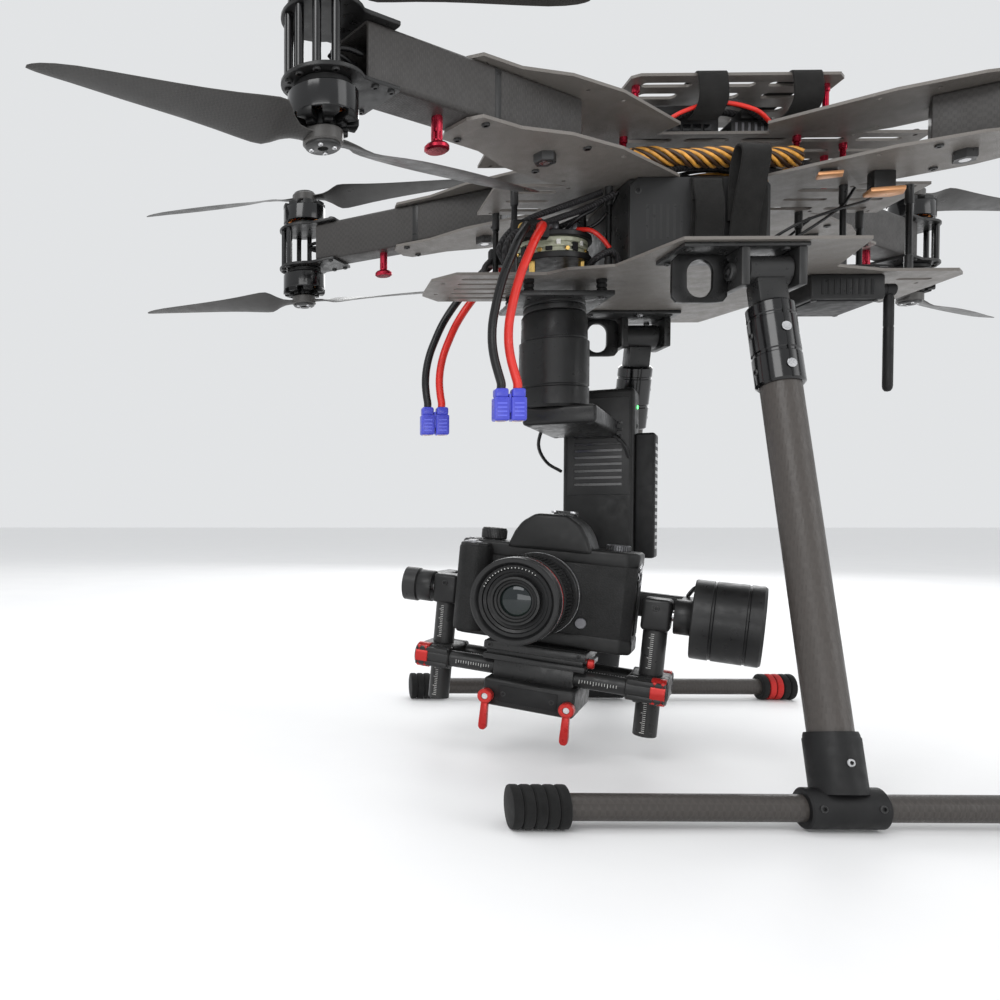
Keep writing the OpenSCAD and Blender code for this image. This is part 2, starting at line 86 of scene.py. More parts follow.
def bump(nt, bsdf, height, strength, dist=0.0004):
    n = nt.nodes.new("ShaderNodeBump")
    n.inputs["Strength"].default_value = strength
    n.inputs["Distance"].default_value = dist
    nt.links.new(height, n.inputs["Height"])
    nt.links.new(n.outputs[0], bsdf.inputs["Normal"])
    return n

def edge(nt, lo=0.53, hi=0.6):
    g = nt.nodes.new("ShaderNodeNewGeometry")
    return ramp(nt, g.outputs["Pointiness"], lo, hi, 0.0, 1.0)

def plain(name, col, rough=0.5, metal=0.0, var=0.25, scale=60, fine=1600, bumps=0.15, wear=None, coat=0.0, rvar=0.12, sheen=0.0, spec=0.5):
    m, nt, b, tc = nodes_of(name)
    f = ramp(nt, noise(nt, tc, scale), 0.3, 0.7)
    lo = tuple(c * (1 - var) for c in col)
    hi = tuple(min(1, c * (1 + var)) for c in col)
    c = mixc(nt, f, lo, hi)
    if wear:
        c = mixc(nt, edge(nt), c, wear)
    nt.links.new(c, b.inputs["Base Color"])
    nt.links.new(ramp(nt, noise(nt, tc, scale * 2.3, 6), 0.3, 0.7, max(0.03, rough - rvar), min(1, rough + rvar)), b.inputs["Roughness"])
    b.inputs["Metallic"].default_value = metal
    b.inputs["Coat Weight"].default_value = coat
    b.inputs["Coat Roughness"].default_value = 0.15
    b.inputs["Sheen Weight"].default_value = sheen
    b.inputs["Specular IOR Level"].default_value = spec
    bump(nt, b, noise(nt, tc, fine, 3), bumps, 0.0002)
    return m

def carbon(name, dark, light, rough, cell=0.0022, coat=0.3, rot=45, bstr=0.35):
    m, nt, b, tc = nodes_of(name)
    mp = nt.nodes.new("ShaderNodeMapping")
    mp.inputs["Rotation"].default_value = (0, 0, math.radians(rot))
    nt.links.new(tc.outputs["Object"], mp.inputs["Vector"])
    ck = nt.nodes.new("ShaderNodeTexChecker")
    ck.inputs["Scale"].default_value = 1 / cell
    nt.links.new(mp.outputs[0], ck.inputs["Vector"])
    w = []
    for d in ("X", "Y"):
        wv = nt.nodes.new("ShaderNodeTexWave")
        wv.bands_direction = d
        wv.inputs["Scale"].default_value = 0.32 / cell * 1.6
        wv.inputs["Distortion"].default_value = 0.6
        nt.links.new(mp.outputs[0], wv.inputs["Vector"])
        w.append(wv.outputs["Fac"])
    mx = nt.nodes.new("ShaderNodeMix")
    nt.links.new(ck.outputs["Fac"], mx.inputs[0])
    nt.links.new(w[0], mx.inputs[2]); nt.links.new(w[1], mx.inputs[3])
    c1 = mixc(nt, ck.outputs["Fac"], dark, light)
    c2 = mixc(nt, ramp(nt, noise(nt, tc, 30), 0.3, 0.75, 0, 0.45), c1, tuple(x * 1.5 for x in light))
    c3 = mixc(nt, edge(nt, 0.52, 0.62), c2, tuple(min(1, x * 2.6) for x in light))
    nt.links.new(c3, b.inputs["Base Color"])
    nt.links.new(ramp(nt, noise(nt, tc, 90, 5), 0.3, 0.7, rough - 0.1, rough + 0.12), b.inputs["Roughness"])
    b.inputs["Coat Weight"].default_value = coat
    b.inputs["Coat Roughness"].default_value = 0.25
    b.inputs["Specular IOR Level"].default_value = 0.28
    bump(nt, b, mx.outputs[0], bstr, 0.00025)
    return m

CARBON_PLATE = carbon("carbon_plate", (0.036, 0.033, 0.03), (0.062, 0.057, 0.052), 0.42, 0.0018, 0.12)
CARBON_TUBE = carbon("carbon_tube", (0.006, 0.0055, 0.005), (0.026, 0.023, 0.021), 0.4, 0.0034, 0.12)
CARBON_ARM = carbon("carbon_arm", (0.008, 0.0078, 0.0075), (0.024, 0.0225, 0.0215), 0.45, 0.0026, 0.1)
CARBON_PROP = carbon("carbon_prop", (0.022, 0.021, 0.02), (0.032, 0.0305, 0.029), 0.36, 0.0014, 0.18, bstr=0.12)
BLACK_METAL = plain("black_metal", (0.006, 0.006, 0.0062), 0.34, 0.35, wear=(0.045, 0.045, 0.045), spec=0.35)
BLACK_SATIN = plain("black_satin", (0.006, 0.006, 0.0063), 0.36, 0.1, wear=(0.03, 0.03, 0.03), spec=0.3)
BLACK_GLOSS = plain("black_gloss", (0.004, 0.004, 0.0045), 0.14, 0.1, coat=0.35, rvar=0.05, bumps=0.04, spec=0.4)
BLACK_PLASTIC = plain("black_plastic", (0.007, 0.007, 0.0074), 0.5, 0.0, bumps=0.3, fine=2600, spec=0.28)
CAM_PLASTIC = plain("camera_plastic", (0.006, 0.006, 0.006), 0.42, 0.0, bumps=0.25, fine=3000, wear=(0.02, 0.02, 0.02), spec=0.3)
COVER = plain("cover_panel", (0.011, 0.011, 0.0115), 0.42, 0.0, bumps=0.2, scale=25, wear=(0.035, 0.035, 0.035), spec=0.3)
RUBBER = plain("rubber", (0.005, 0.005, 0.005), 0.68, 0.0, bumps=0.4, fine=1800, spec=0.25)
FOAM = plain("foam", (0.009, 0.009, 0.009), 0.85, 0.0, bumps=0.8, fine=900, sheen=0.05, spec=0.2)
FOAM_RED = plain("foam_red", (0.4, 0.012, 0.01), 0.8, 0.0, bumps=0.7, fine=900)
STEEL = plain("steel", (0.55, 0.55, 0.56), 0.28, 1.0, var=0.1)
GREY_METAL = plain("grey_metal", (0.16, 0.16, 0.17), 0.35, 0.9, var=0.15)
RED_METAL = plain("red_metal", (0.3, 0.003, 0.02), 0.26, 0.8, var=0.2, wear=(0.5, 0.03, 0.06))
RED_CLAMP = plain("red_clamp", (0.34, 0.005, 0.005), 0.3, 0.3, var=0.15, wear=(0.5, 0.03, 0.025), spec=0.35)
LEAD_RED = plain("lead_red", (0.62, 0.018, 0.01), 0.38, 0.0, var=0.12, bumps=0.08)
LEAD_BLACK = plain("lead_black", (0.006, 0.006, 0.0065), 0.34, 0.0, var=0.2, bumps=0.08, spec=0.35)
PLUG_BLUE = plain("plug_blue", (0.025, 0.03, 0.42), 0.34, 0.0, var=0.12, wear=(0.12, 0.14, 0.7))
PCB = plain("pcb", (0.36, 0.37, 0.27), 0.5, 0.0, var=0.35, scale=160, coat=0.2)
PCB_GREEN = plain("pcb_green", (0.05, 0.13, 0.07), 0.4, 0.0, var=0.4, scale=300, coat=0.3)
BRASS = plain("brass", (0.75, 0.5, 0.16), 0.3, 1.0, var=0.15)
COPPER = plain("copper_wire", (0.62, 0.25, 0.08), 0.3, 1.0, var=0.3, scale=400)
ORANGE_WIRE = plain("orange_wire", (0.66, 0.31, 0.05), 0.42, 0.0, var=0.3, scale=220)
BROWN_WIRE = plain("brown_wire", (0.05, 0.025, 0.012), 0.42, 0.0, var=0.3, scale=220)
COPPER_PLATE = plain("copper_plate", (0.72, 0.36, 0.17), 0.38, 0.5, var=0.12)
WHITE_MARK = plain("white_mark", (0.62, 0.62, 0.6), 0.5, 0.0, var=0.08)
WHITE_PART = plain("white_part", (0.75, 0.74, 0.7), 0.45, 0.0, var=0.08)

def leather(name):
    m, nt, b, tc = nodes_of(name)
    v = nt.nodes.new("ShaderNodeTexVoronoi")
    v.inputs["Scale"].default_value = 900
    nt.links.new(tc.outputs["Object"], v.inputs["Vector"])
    nt.links.new(mixc(nt, ramp(nt, v.outputs["Distance"], 0, 0.6), (0.012, 0.012, 0.012), (0.005, 0.005, 0.005)), b.inputs["Base Color"])
    b.inputs["Specular IOR Level"].default_value = 0.3
    nt.links.new(ramp(nt, noise(nt, tc, 80), 0.3, 0.7, 0.5, 0.68), b.inputs["Roughness"])
    bump(nt, b, v.outputs["Distance"], 0.6, 0.0003)
    return m
LEATHER = leather("leatherette")

def velcro(name):
    m, nt, b, tc = nodes_of(name)
    n1 = noise(nt, tc, 1400, 6, 0.7, 1.2)
    n2 = noise(nt, tc, 90, 3)
    c = mixc(nt, ramp(nt, n1, 0.35, 0.7), (0.003, 0.003, 0.003), (0.022, 0.021, 0.02))
    nt.links.new(mixc(nt, ramp(nt, n2, 0.4, 0.8, 0, 0.4), c, (0.028, 0.027, 0.026)), b.inputs["Base Color"])
    b.inputs["Specular IOR Level"].default_value = 0.2
    nt.links.new(ramp(nt, n1, 0.3, 0.7, 0.8, 1.0), b.inputs["Roughness"])
    b.inputs["Sheen Weight"].default_value = 0.06
    bump(nt, b, n1, 1.0, 0.0008)
    return m
VELCRO = velcro("hook_strap")

def braid(name):
    m, nt, b, tc = nodes_of(name)
    w = nt.nodes.new("ShaderNodeTexWave")
    w.bands_direction = "DIAGONAL"
    w.inputs["Scale"].default_value = 260
    w.inputs["Distortion"].default_value = 3.0
    nt.links.new(tc.outputs["Object"], w.inputs["Vector"])
    n1 = noise(nt, tc, 900, 4)
    nt.links.new(mixc(nt, w.outputs["Fac"], (0.003, 0.003, 0.0035), (0.03, 0.028, 0.03)), b.inputs["Base Color"])
    b.inputs["Specular IOR Level"].default_value = 0.3
    nt.links.new(ramp(nt, n1, 0.3, 0.7, 0.4, 0.6), b.inputs["Roughness"])
    bump(nt, b, w.outputs["Fac"], 0.9, 0.0006)
    return m
BRAID = braid("braided_sleeve")

def glass(name):
    m, nt, b, tc = nodes_of(name)
    n = noise(nt, tc, 40, 2)
    nt.links.new(mixc(nt, ramp(nt, n, 0.3, 0.7), (0.006, 0.008, 0.01), (0.012, 0.018, 0.014)), b.inputs["Base Color"])
    nt.links.new(ramp(nt, n, 0.3, 0.7, 0.02, 0.05), b.inputs["Roughness"])
    b.inputs["Coat Weight"].default_value = 0.25
    b.inputs["Coat Roughness"].default_value = 0.02
    b.inputs["Coat Tint"].default_value = (0.75, 0.85, 1.0, 1)
    b.inputs["IOR"].default_value = 1.5
    b.inputs["Specular IOR Level"].default_value = 0.35
    return m
GLASS = glass("lens_glass")

def led(name, col):
    m, nt, b, tc = nodes_of(name)
    nt.links.new(mixc(nt, noise(nt, tc, 300), col, tuple(min(1, c * 1.3 + 0.05) for c in col)), b.inputs["Base Color"])
    b.inputs["Emission Color"].default_value = (*col, 1)
    b.inputs["Emission Strength"].default_value = 4
    return m
LED = led("led_green", (0.1, 0.9, 0.2))

# ------------------------------------------------------------------ mesh building, in millimetres
def axis_matrix(c, axis):
    d = Vector({"X": (1, 0, 0), "-X": (-1, 0, 0), "Y": (0, 1, 0), "-Y": (0, -1, 0), "Z": (0, 0, 1), "-Z": (0, 0, -1)}[axis]) if isinstance(axis, str) else Vector(axis).normalized()
    return Matrix.Translation(Vector(c)) @ d.to_track_quat("Z", "Y").to_matrix().to_4x4()

class Part:
    def __init__(self, M=None):
        self.bm = bmesh.new()
        self.mats = []
        self.M = M or Matrix.Identity(4)

    def _mi(self, mat):
        if mat not in self.mats:
            self.mats.append(mat)
        return self.mats.index(mat)

    def _merge(self, tmp, mat, M):
        mi = self._mi(mat)
        for f in tmp.faces:
            f.material_index = mi
        tmp.transform(self.M @ (M or Matrix.Identity(4)))
        me = bpy.data.meshes.new("tmp")
        tmp.to_mesh(me)
        tmp.free()
        self.bm.from_mesh(me)
        bpy.data.meshes.remove(me)

    def box(self, lo, hi, mat, r=1.0, seg=2, M=None):
        t = bmesh.new()
        bmesh.ops.create_cube(t, size=1)
        s = [hi[i] - lo[i] for i in range(3)]
        c = [(hi[i] + lo[i]) / 2 for i in range(3)]
        for v in t.verts:
            v.co = Vector([c[i] + v.co[i] * s[i] for i in range(3)])
        r = min(r, min(s) * 0.45)
        if r > 0:
            bmesh.ops.bevel(t, geom=list(t.edges), offset=r, segments=seg, profile=0.5, affect="EDGES")
        self._merge(t, mat, M)
        return self

    def prism(self, pts, z0, z1, mat, r=0.6, seg=2, M=None):
        """Extruded outline from z0 to z1, edges rounded."""
        t = bmesh.new()
        lo = [t.verts.new((x, y, z0)) for x, y in pts]
        hi = [t.verts.new((x, y, z1)) for x, y in pts]
        n = len(pts)
        t.faces.new(list(reversed(lo)))
        t.faces.new(hi)
        for i in range(n):
            j = (i + 1) % n
            t.faces.new([lo[i], lo[j], hi[j], hi[i]])
        bmesh.ops.recalc_face_normals(t, faces=t.faces)
        if r > 0:
            es = [e for e in t.edges if e.calc_face_angle(0) > 0.35]
            bmesh.ops.bevel(t, geom=es, offset=r, segments=seg, profile=0.5, affect="EDGES")
        self._merge(t, mat, M)
        return self

    def lathe(self, prof, c, axis, mat, n=40, M=None, a0=0.0, a1=360.0):
        """Revolves (radius, height) points about the axis through c."""
        t = bmesh.new()
        full = a1 - a0 >= 359.9
        steps = n if full else n + 1
        rows = []
        for r, h in prof:
            if r < 1e-4:
                rows.append([t.verts.new((0, 0, h))])
            else:
                rows.append([t.verts.new((r * math.cos(math.radians(a0 + (a1 - a0) * i / n)), r * math.sin(math.radians(a0 + (a1 - a0) * i / n)), h)) for i in range(steps)])
        for a, b in zip(rows, rows[1:]):
            for i in range(n):
                j = (i + 1) % steps
                if len(a) == 1 and len(b) == 1:
                    continue
                if len(a) == 1:
                    t.faces.new([a[0], b[j], b[i]])
                elif len(b) == 1:
                    t.faces.new([a[i], a[j], b[0]])
                else:
                    t.faces.new([a[i], a[j], b[j], b[i]])
        closed = abs(prof[0][0] - prof[-1][0]) < 1e-6 and abs(prof[0][1] - prof[-1][1]) < 1e-6
        if not closed and full:
            if len(rows[0]) > 1:
                t.faces.new(list(reversed(rows[0])))
            if len(rows[-1]) > 1:
                t.faces.new(rows[-1])
        if closed:
            bmesh.ops.remove_doubles(t, verts=t.verts, dist=1e-5)
        bmesh.ops.recalc_face_normals(t, faces=t.faces)
        self._merge(t, mat, (M or Matrix.Identity(4)) @ axis_matrix(c, axis))
        return self

    def cyl(self, c, axis, r, h, mat, ch=0.6, n=32, M=None):
        ch = min(ch, r * 0.4, h * 0.4)
        return self.lathe([(0, 0), (r - ch, 0), (r, ch), (r, h - ch), (r - ch, h), (0, h)], c, axis, mat, n, M)

    def pipe(self, c, axis, r, ri, h, mat, ch=0.5, n=32, M=None):
        return self.lathe([(ri, 0), (r - ch, 0), (r, ch), (r, h - ch), (r - ch, h), (ri, h), (ri, 0)], c, axis, mat, n, M)

    def screw(self, c, axis, r=2.6, h=1.6, mat=None, M=None):
        """Socket-head screw with a round recess."""
        mat = mat or BLACK_METAL
        t_prof = [(0, 0), (r, 0), (r, h * 0.7), (r * 0.85, h), (r * 0.5, h), (r * 0.45, h * 0.35), (0, h * 0.35)]
        return self.lathe(t_prof, c, axis, mat, 12, M)

    def sweep(self, pts, r, mat, n=10, M=None):
        """Round bar along points."""
        P = [Vector(p) for p in pts]
        t = bmesh.new()
        rows = []
        up = Vector((0.13, 0.21, 1)).normalized()
        for i, p in enumerate(P):
            d = (P[min(i + 1, len(P) - 1)] - P[max(i - 1, 0)]).normalized()
            u = d.cross(up)
            u = u.normalized() if u.length > 1e-4 else d.orthogonal().normalized()
            w = d.cross(u)
            up = u.cross(d) * -1 if False else up
            rr = r(i / (len(P) - 1)) if callable(r) else r
            rows.append([t.verts.new(p + rr * (math.cos(2 * math.pi * k / n) * u + math.sin(2 * math.pi * k / n) * w)) for k in range(n)])
        for a, b in zip(rows, rows[1:]):
            for i in range(n):
                j = (i + 1) % n
                t.faces.new([a[i], a[j], b[j], b[i]])
        t.faces.new(list(reversed(rows[0])))
        t.faces.new(rows[-1])
        bmesh.ops.recalc_face_normals(t, faces=t.faces)
        self._merge(t, mat, M)
        return self

    def done(self, name, body, slot=None, rep=(), angle=34, sub=0):
        me = bpy.data.meshes.new(name)
        self.bm.transform(Matrix.Scale(K, 4))
        self.bm.to_mesh(me)
        self.bm.free()
        me.shade_smooth()
        me.set_sharp_from_angle(angle=math.radians(angle))
        for m in self.mats:
            me.materials.append(m)
        o = bpy.data.objects.new(name, me)
        bpy.context.scene.collection.objects.link(o)
        if sub:
            md = o.modifiers.new("sub", "SUBSURF")
            md.levels = md.render_levels = sub
        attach(o, body)
        if rep:
            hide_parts(*rep)
        return o

def catmull(pts, per=6):
    P = [Vector(p) for p in pts]
    P = [2 * P[0] - P[1]] + P + [2 * P[-1] - P[-2]]
    out = []
    for i in range(1, len(P) - 2):
        a, b, c, d = P[i - 1], P[i], P[i + 1], P[i + 2]
        for k in range(per):
            t = k / per
            out.append(0.5 * ((2 * b) + (c - a) * t + (2 * a - 5 * b + 4 * c - d) * t * t + (3 * b - a - 3 * c + d) * t ** 3))
    out.append(P[-2])
    return out

def wire(name, splines, r, mat, body, rep=(), per=5, M=None, res=3):
    """One curve object with any number of round wires, in millimetres."""
    cu = bpy.data.curves.new(name, "CURVE")
    cu.dimensions = "3D"
    cu.bevel_depth = r * K
    cu.bevel_resolution = res
    cu.use_fill_caps = True
    for pts in splines:
        q = catmull(pts, per) if per > 1 else [Vector(p) for p in pts]
        if M:
            q = [M @ p for p in q]
        s = cu.splines.new("POLY")
        s.points.add(len(q) - 1)
        for i, p in enumerate(q):
            s.points[i].co = (*(p * K), 1)
    cu.materials.append(mat)
    o = bpy.data.objects.new(name, cu)
    bpy.context.scene.collection.objects.link(o)
    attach(o, body)
    if rep:
        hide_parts(*rep)
    return o

def give(node, mat, bevel=0.0):
    o = NODES[node]
    o.data.materials.clear()
    o.data.materials.append(mat)

# ------------------------------------------------------------------ dimensions, as in the CAD model
MX, MY, PX, PY = 305.0, 190.0, 145.0, 90.0
ANG = math.atan2(MY - PY, MX - PX)
LEN = math.hypot(MX - PX, MY - PY)
Z0, Z1 = 441.0, 477.0
ZD = 371.0
MG = Matrix.Translation((-110, 0, 0)) @ Matrix.Rotation(math.radians(-28), 4, "Z")
MC = MG @ Matrix.Translation((0, -20, 120)) @ Matrix.Rotation(math.radians(5), 4, "Y") @ Matrix.Translation((0, 0, -120))
MK = MC @ Matrix.Translation((0, 0, 10))
ARMS = {"fl": (-1, -1), "fr": (-1, 1), "rl": (1, -1), "rr": (1, 1)}

def arm_matrix(sx, sy):
    a = sy * ANG if sx > 0 else math.pi - sy * ANG
    return Matrix.Translation((sx * PX, sy * PY, 0)) @ Matrix.Rotation(a, 4, "Z")

# ------------------------------------------------------------------ rotors and arms
BLADE = [(0.05, 13, 4, 0), (0.08, 12, 6, 0), (0.115, 13, 14, 0.5), (0.15, 19, 24, 2.0), (0.18, 28, 27, 3.5), (0.205, 34.5, 26, 4.2), (0.24, 36, 24, 4.2), (0.3, 34.5, 21, 3.6),
         (0.38, 31.5, 17.5, 2.8), (0.48, 28, 14.5, 2.0), (0.58, 25, 12.3, 1.2), (0.68, 22, 10.8, 0.5), (0.78, 18.5, 9.6, 0), (0.87, 14.8, 8.8, -0.6), (0.93, 11.5, 8.4, -1.8), (0.97, 8, 8.2, -3.0), (0.99, 5, 8, -3.9), (1.0, 2.5, 8, -4.6)]

def blade_bm(R, mir):
    t = bmesh.new()
    foil = []
    n = 14
    for k in range(n):
        x = 0.5 - 0.5 * math.cos(math.pi * k / n)
        foil.append((x - 0.5, 0.5 * (math.sin(math.pi * x ** 0.7)) * 1.0 + 0.08))
    for k in range(n):
        x = 0.5 + 0.5 * math.cos(math.pi * k / n)
        foil.append((x - 0.5, -0.22 * math.sin(math.pi * x ** 0.8) + 0.0))
    rows = []
    pts = []
    for i in range(len(BLADE) - 1):
        a, b = BLADE[i], BLADE[i + 1]
        for k in range(2):
            pts.append([a[j] + (b[j] - a[j]) * k / 2 for j in range(4)])
    pts.append(list(BLADE[-1]))
    for fr, c, tw, sw in pts:
        th = max(1.1, 4.4 - 3.6 * fr)
        ca, sa = math.cos(math.radians(tw)), math.sin(math.radians(tw))
        row = []
        for px, py in foil:
            x, y, z = fr * R, sw + px * c * ca - py * th * sa, 0.83 * (-px * c * sa + py * th * ca)
            row.append(t.verts.new((x, y, -z if mir else z)))
        rows.append(row)
    m = len(foil)
    for a, b in zip(rows, rows[1:]):
        for i in range(m):
            j = (i + 1) % m
            t.faces.new([a[i], a[j], b[j], b[i]])
    t.faces.new(rows[0]); t.faces.new(rows[-1])
    bmesh.ops.recalc_face_normals(t, faces=t.faces)
    return t

def rotor(k, up, ang):
    sx, sy = ARMS[k]
    zc = Z1 + 33.5 if up else Z0 - 33.5
    T = Matrix.Translation((sx * MX, sy * MY, zc)) @ Matrix.Rotation(math.radians(ang), 4, "Z")
    d = 1 if up else -1
    name = ("up_" if up else "low_") + k
    body = "rotor_" + name
    p = Part(T)
    for a in (0, math.pi):
        p._merge(blade_bm(175.0 if up else 174.0, not up), CARBON_PROP, Matrix.Rotation(a, 4, "Z"))
    p.lathe([(3.0, -4), (11.2, -4), (12, -3.2), (12, 3.2), (11.2, 4), (3.0, 4), (3.0, -4)], (0, 0, 0), "Z", CARBON_PROP, 32)
    # clamp washer and bolts on the outer face
    ax = "Z" if up else "-Z"
    p.lathe([(3.2, 0), (10.4, 0), (10.4, 1.2), (9.6, 1.8), (3.2, 1.8), (3.2, 0)], (0, 0, 4 * d), ax, BLACK_METAL, 28)
    for q in (45, 135, 225, 315):
        p.screw((7 * math.cos(math.radians(q)), 7 * math.sin(math.radians(q)), 5.6 * d), ax, 1.6, 1.0, STEEL)
    p.done("prop_" + name + "_look", body, "carbon_prop", ["prop_" + name], angle=40)
    # bell: can, scalloped crown, shaft
    b = Part(Matrix.Translation((sx * MX, sy * MY, Z1 + 7.5 if up else Z0 - 7.5)) @ (Matrix.Identity(4) if up else Matrix.Diagonal((1, 1, -1, 1))))
    b.lathe([(19.6, 0.5), (20.6, 0.5), (21, 0.9), (21, 14.4), (20.6, 15.4), (19.2, 15.6), (19.2, 15.0), (19.6, 14.2), (19.6, 0.5)], (0, 0, 0), "Z", BLACK_GLOSS, 56)
    for i in range(8):
        a = math.radians(i * 45 + 10)
        R = Matrix.Rotation(a, 4, "Z")
        b.prism([(6, -2.8), (15.5, -3.6), (20.6, -5.2), (20.9, 0), (20.6, 5.2), (15.5, 3.6), (6, 2.8)], 15.0, 19.4, BLACK_METAL, 0.7, 2, R)
        b.prism([(5.5, -2.4), (15.0, -2.6), (15.0, 2.6), (5.5, 2.4)], 19.0, 21.6, BLACK_METAL, 0.6, 2, R)
    b.lathe([(3, 12), (9.5, 12), (10.6, 13), (10.6, 21), (9.8, 22), (3, 22), (3, 12)], (0, 0, 0), "Z", BLACK_METAL, 36)
    b.cyl((0, 0, -6), "Z", 2.9, 20, STEEL, 0.3, 20)
    b.lathe([(17.9, 1.0), (19.55, 1.0), (19.55, 13.6), (17.9, 13.6), (17.9, 1.0)], (0, 0, 0), "Z", GREY_METAL, 42)
    b.done("bell_" + name + "_look", body, "motor_metal", ["bell_" + name])

for k in ARMS:
    sx, sy = ARMS[k]
    rotor(k, True, {"fl": 15, "fr": -15, "rl": -15, "rr": 15}[k])
    rotor(k, False, {"fl": 31, "fr": -15, "rl": -15, "rr": 31}[k])
    A = arm_matrix(sx, sy)
    # arm tube: rounded rectangular tube, open at the motor end
    p = Part(A)
    def ring_pts(w, h, r, n=5):
        o = []
        for cx, cy, a0 in ((w / 2 - r, h / 2 - r, 0), (-w / 2 + r, h / 2 - r, 90), (-w / 2 + r, -h / 2 + r, 180), (w / 2 - r, -h / 2 + r, 270)):
            for i in range(n + 1):
                a = math.radians(a0 + 90 * i / n)
                o.append((cx + r * math.cos(a), cy + r * math.sin(a)))
        return o
    t = bmesh.new()
    rows = []
    zc = (Z0 + Z1) / 2
    x0, x1 = -20.0, LEN - 22
    for x, w, h, r in ((x0, 25, 31, 2), (x0, 29, 35, 3), (x0 + 0.6, 30, 36, 3.2), (x1 - 0.5, 30, 36, 3.2), (x1, 29.4, 35.4, 3.0), (x1, 26, 32, 2.0), (x1 - 60, 26, 32, 2.0)):
        rows.append([t.verts.new((x, yy, zc + zz)) for yy, zz in ring_pts(w, h, r)])
    for a, b in zip(rows, rows[1:]):
        m = len(a)
        for i in range(m):
            j = (i + 1) % m
            t.faces.new([a[i], a[j], b[j], b[i]])
    t.faces.new(rows[0]); t.faces.new(rows[-1])
    bmesh.ops.recalc_face_normals(t, faces=t.faces)
    p._merge(t, CARBON_ARM, None)
    # rib block at the root, seen between the plates
    p.box((58, -15.4, Z0 + 1.5), (64, 15.4, Z1 - 1.5), BLACK_METAL, 1)
    p.done("arm_" + k + "_look", "arm_" + k, "carbon_tube", ["arm_" + k], angle=30)
    # phase leads showing inside the motor end
    wire("arm_wires_" + k, [[(LEN - 24, y, 452 + i * 4), (LEN - 14, y * 0.6, 456 + i * 3), (LEN - 6, y * 0.3, 459 + i)] for i, y in enumerate((-7, 0, 7))], 1.6, LEAD_BLACK, "arm_" + k, M=A)
    # motor mount
    p = Part(A @ Matrix.Translation((LEN, 0, 0)))
    outline = []
    for i in range(25):
        a = math.radians(-130 + 260 * i / 24)
        outline.append((25 * math.cos(a), 25 * math.sin(a)))
    outline += [(-20, 19), (-43, 19), (-44, 17), (-44, -17), (-43, -19), (-20, -19)]
    for z in (Z1, Z0 - 2.5):
        p.prism(outline, z, z + 2.5, BLACK_METAL, 0.4, 1)
    for a in (-75, -45, -15, 15, 45, 75):
        c, s = math.cos(math.radians(a)), math.sin(math.radians(a))
        p.cyl((21 * c, 21 * s, Z0), "Z", 2.6, 36, BLACK_GLOSS, 0.3, 20)
        p.screw((21 * c, 21 * s, Z1 + 2.5), "Z", 2.3, 1.3)
        p.screw((21 * c, 21 * s, Z0 - 2.5), "-Z", 2.3, 1.3)
    for x, y in ((-39, 15), (-39, -15), (-27, 15), (-27, -15)):
        p.screw((x, y, Z1 + 2.5), "Z", 2.3, 1.3)
        p.screw((x, y, Z0 - 2.5), "-Z", 2.3, 1.3)
    for z, ax, d in ((Z1 + 2.5, "Z", 1), (Z0 - 2.5, "-Z", -1)):
        p.lathe([(3.1, 0), (16.4, 0), (17, 0.6), (17, 3.2), (15.8, 4.9), (3.1, 4.9), (3.1, 0)], (0, 0, z), ax, BLACK_METAL, 40)
        p.lathe([(3.1, 4.5), (5.6, 4.5), (5.6, 15.5), (3.1, 15.5), (3.1, 4.5)], (0, 0, z), ax, GREY_METAL, 20)
        for i in range(12):
            R = Matrix.Rotation(math.radians(i * 30), 4, "Z")
            p.box((6.4, -1.5, z + d * 6.4) if d > 0 else (6.4, -1.5, z - 16.2), (16.6, 1.5, z + 16.2) if d > 0 else (16.6, 1.5, z - 6.4), COPPER, 1.3, 2, R)
            p.box((16.2, -2.9, z + d * 8.0) if d > 0 else (16.2, -2.9, z - 14.6), (17.4, 2.9, z + 14.6) if d > 0 else (17.4, 2.9, z - 8.0), GREY_METAL, 0.4, 1, R)
    p.done("motor_mount_" + k + "_look", "arm_" + k, "motor_metal", ["motor_mount_" + k])
    # red pull pin, fluted
    p = Part(A @ Matrix.Translation((100, 0, 0)))
    p.lathe([(0, 424), (3.5, 424), (3.5, 426), (2.6, 427), (2.6, 430), (3.5, 431), (3.5, 452), (0, 452)], (0, 0, 0), "Z", RED_METAL, 28)
    for i in range(6):
        a = math.radians(i * 60)
        p.cyl((2.6 * math.cos(a), 2.6 * math.sin(a), 425), "Z", 1.2, 15.5, RED_METAL, 0.2, 10)
    p.lathe([(0, 419), (6.6, 419), (8, 420), (8, 422), (7, 423.2), (4.6, 424.6), (0, 424.6)], (0, 0, 0), "Z", RED_METAL, 32)
    p.done("lock_pin_" + k + "_look", "pin_" + k, "red_metal", ["lock_pin_" + k])


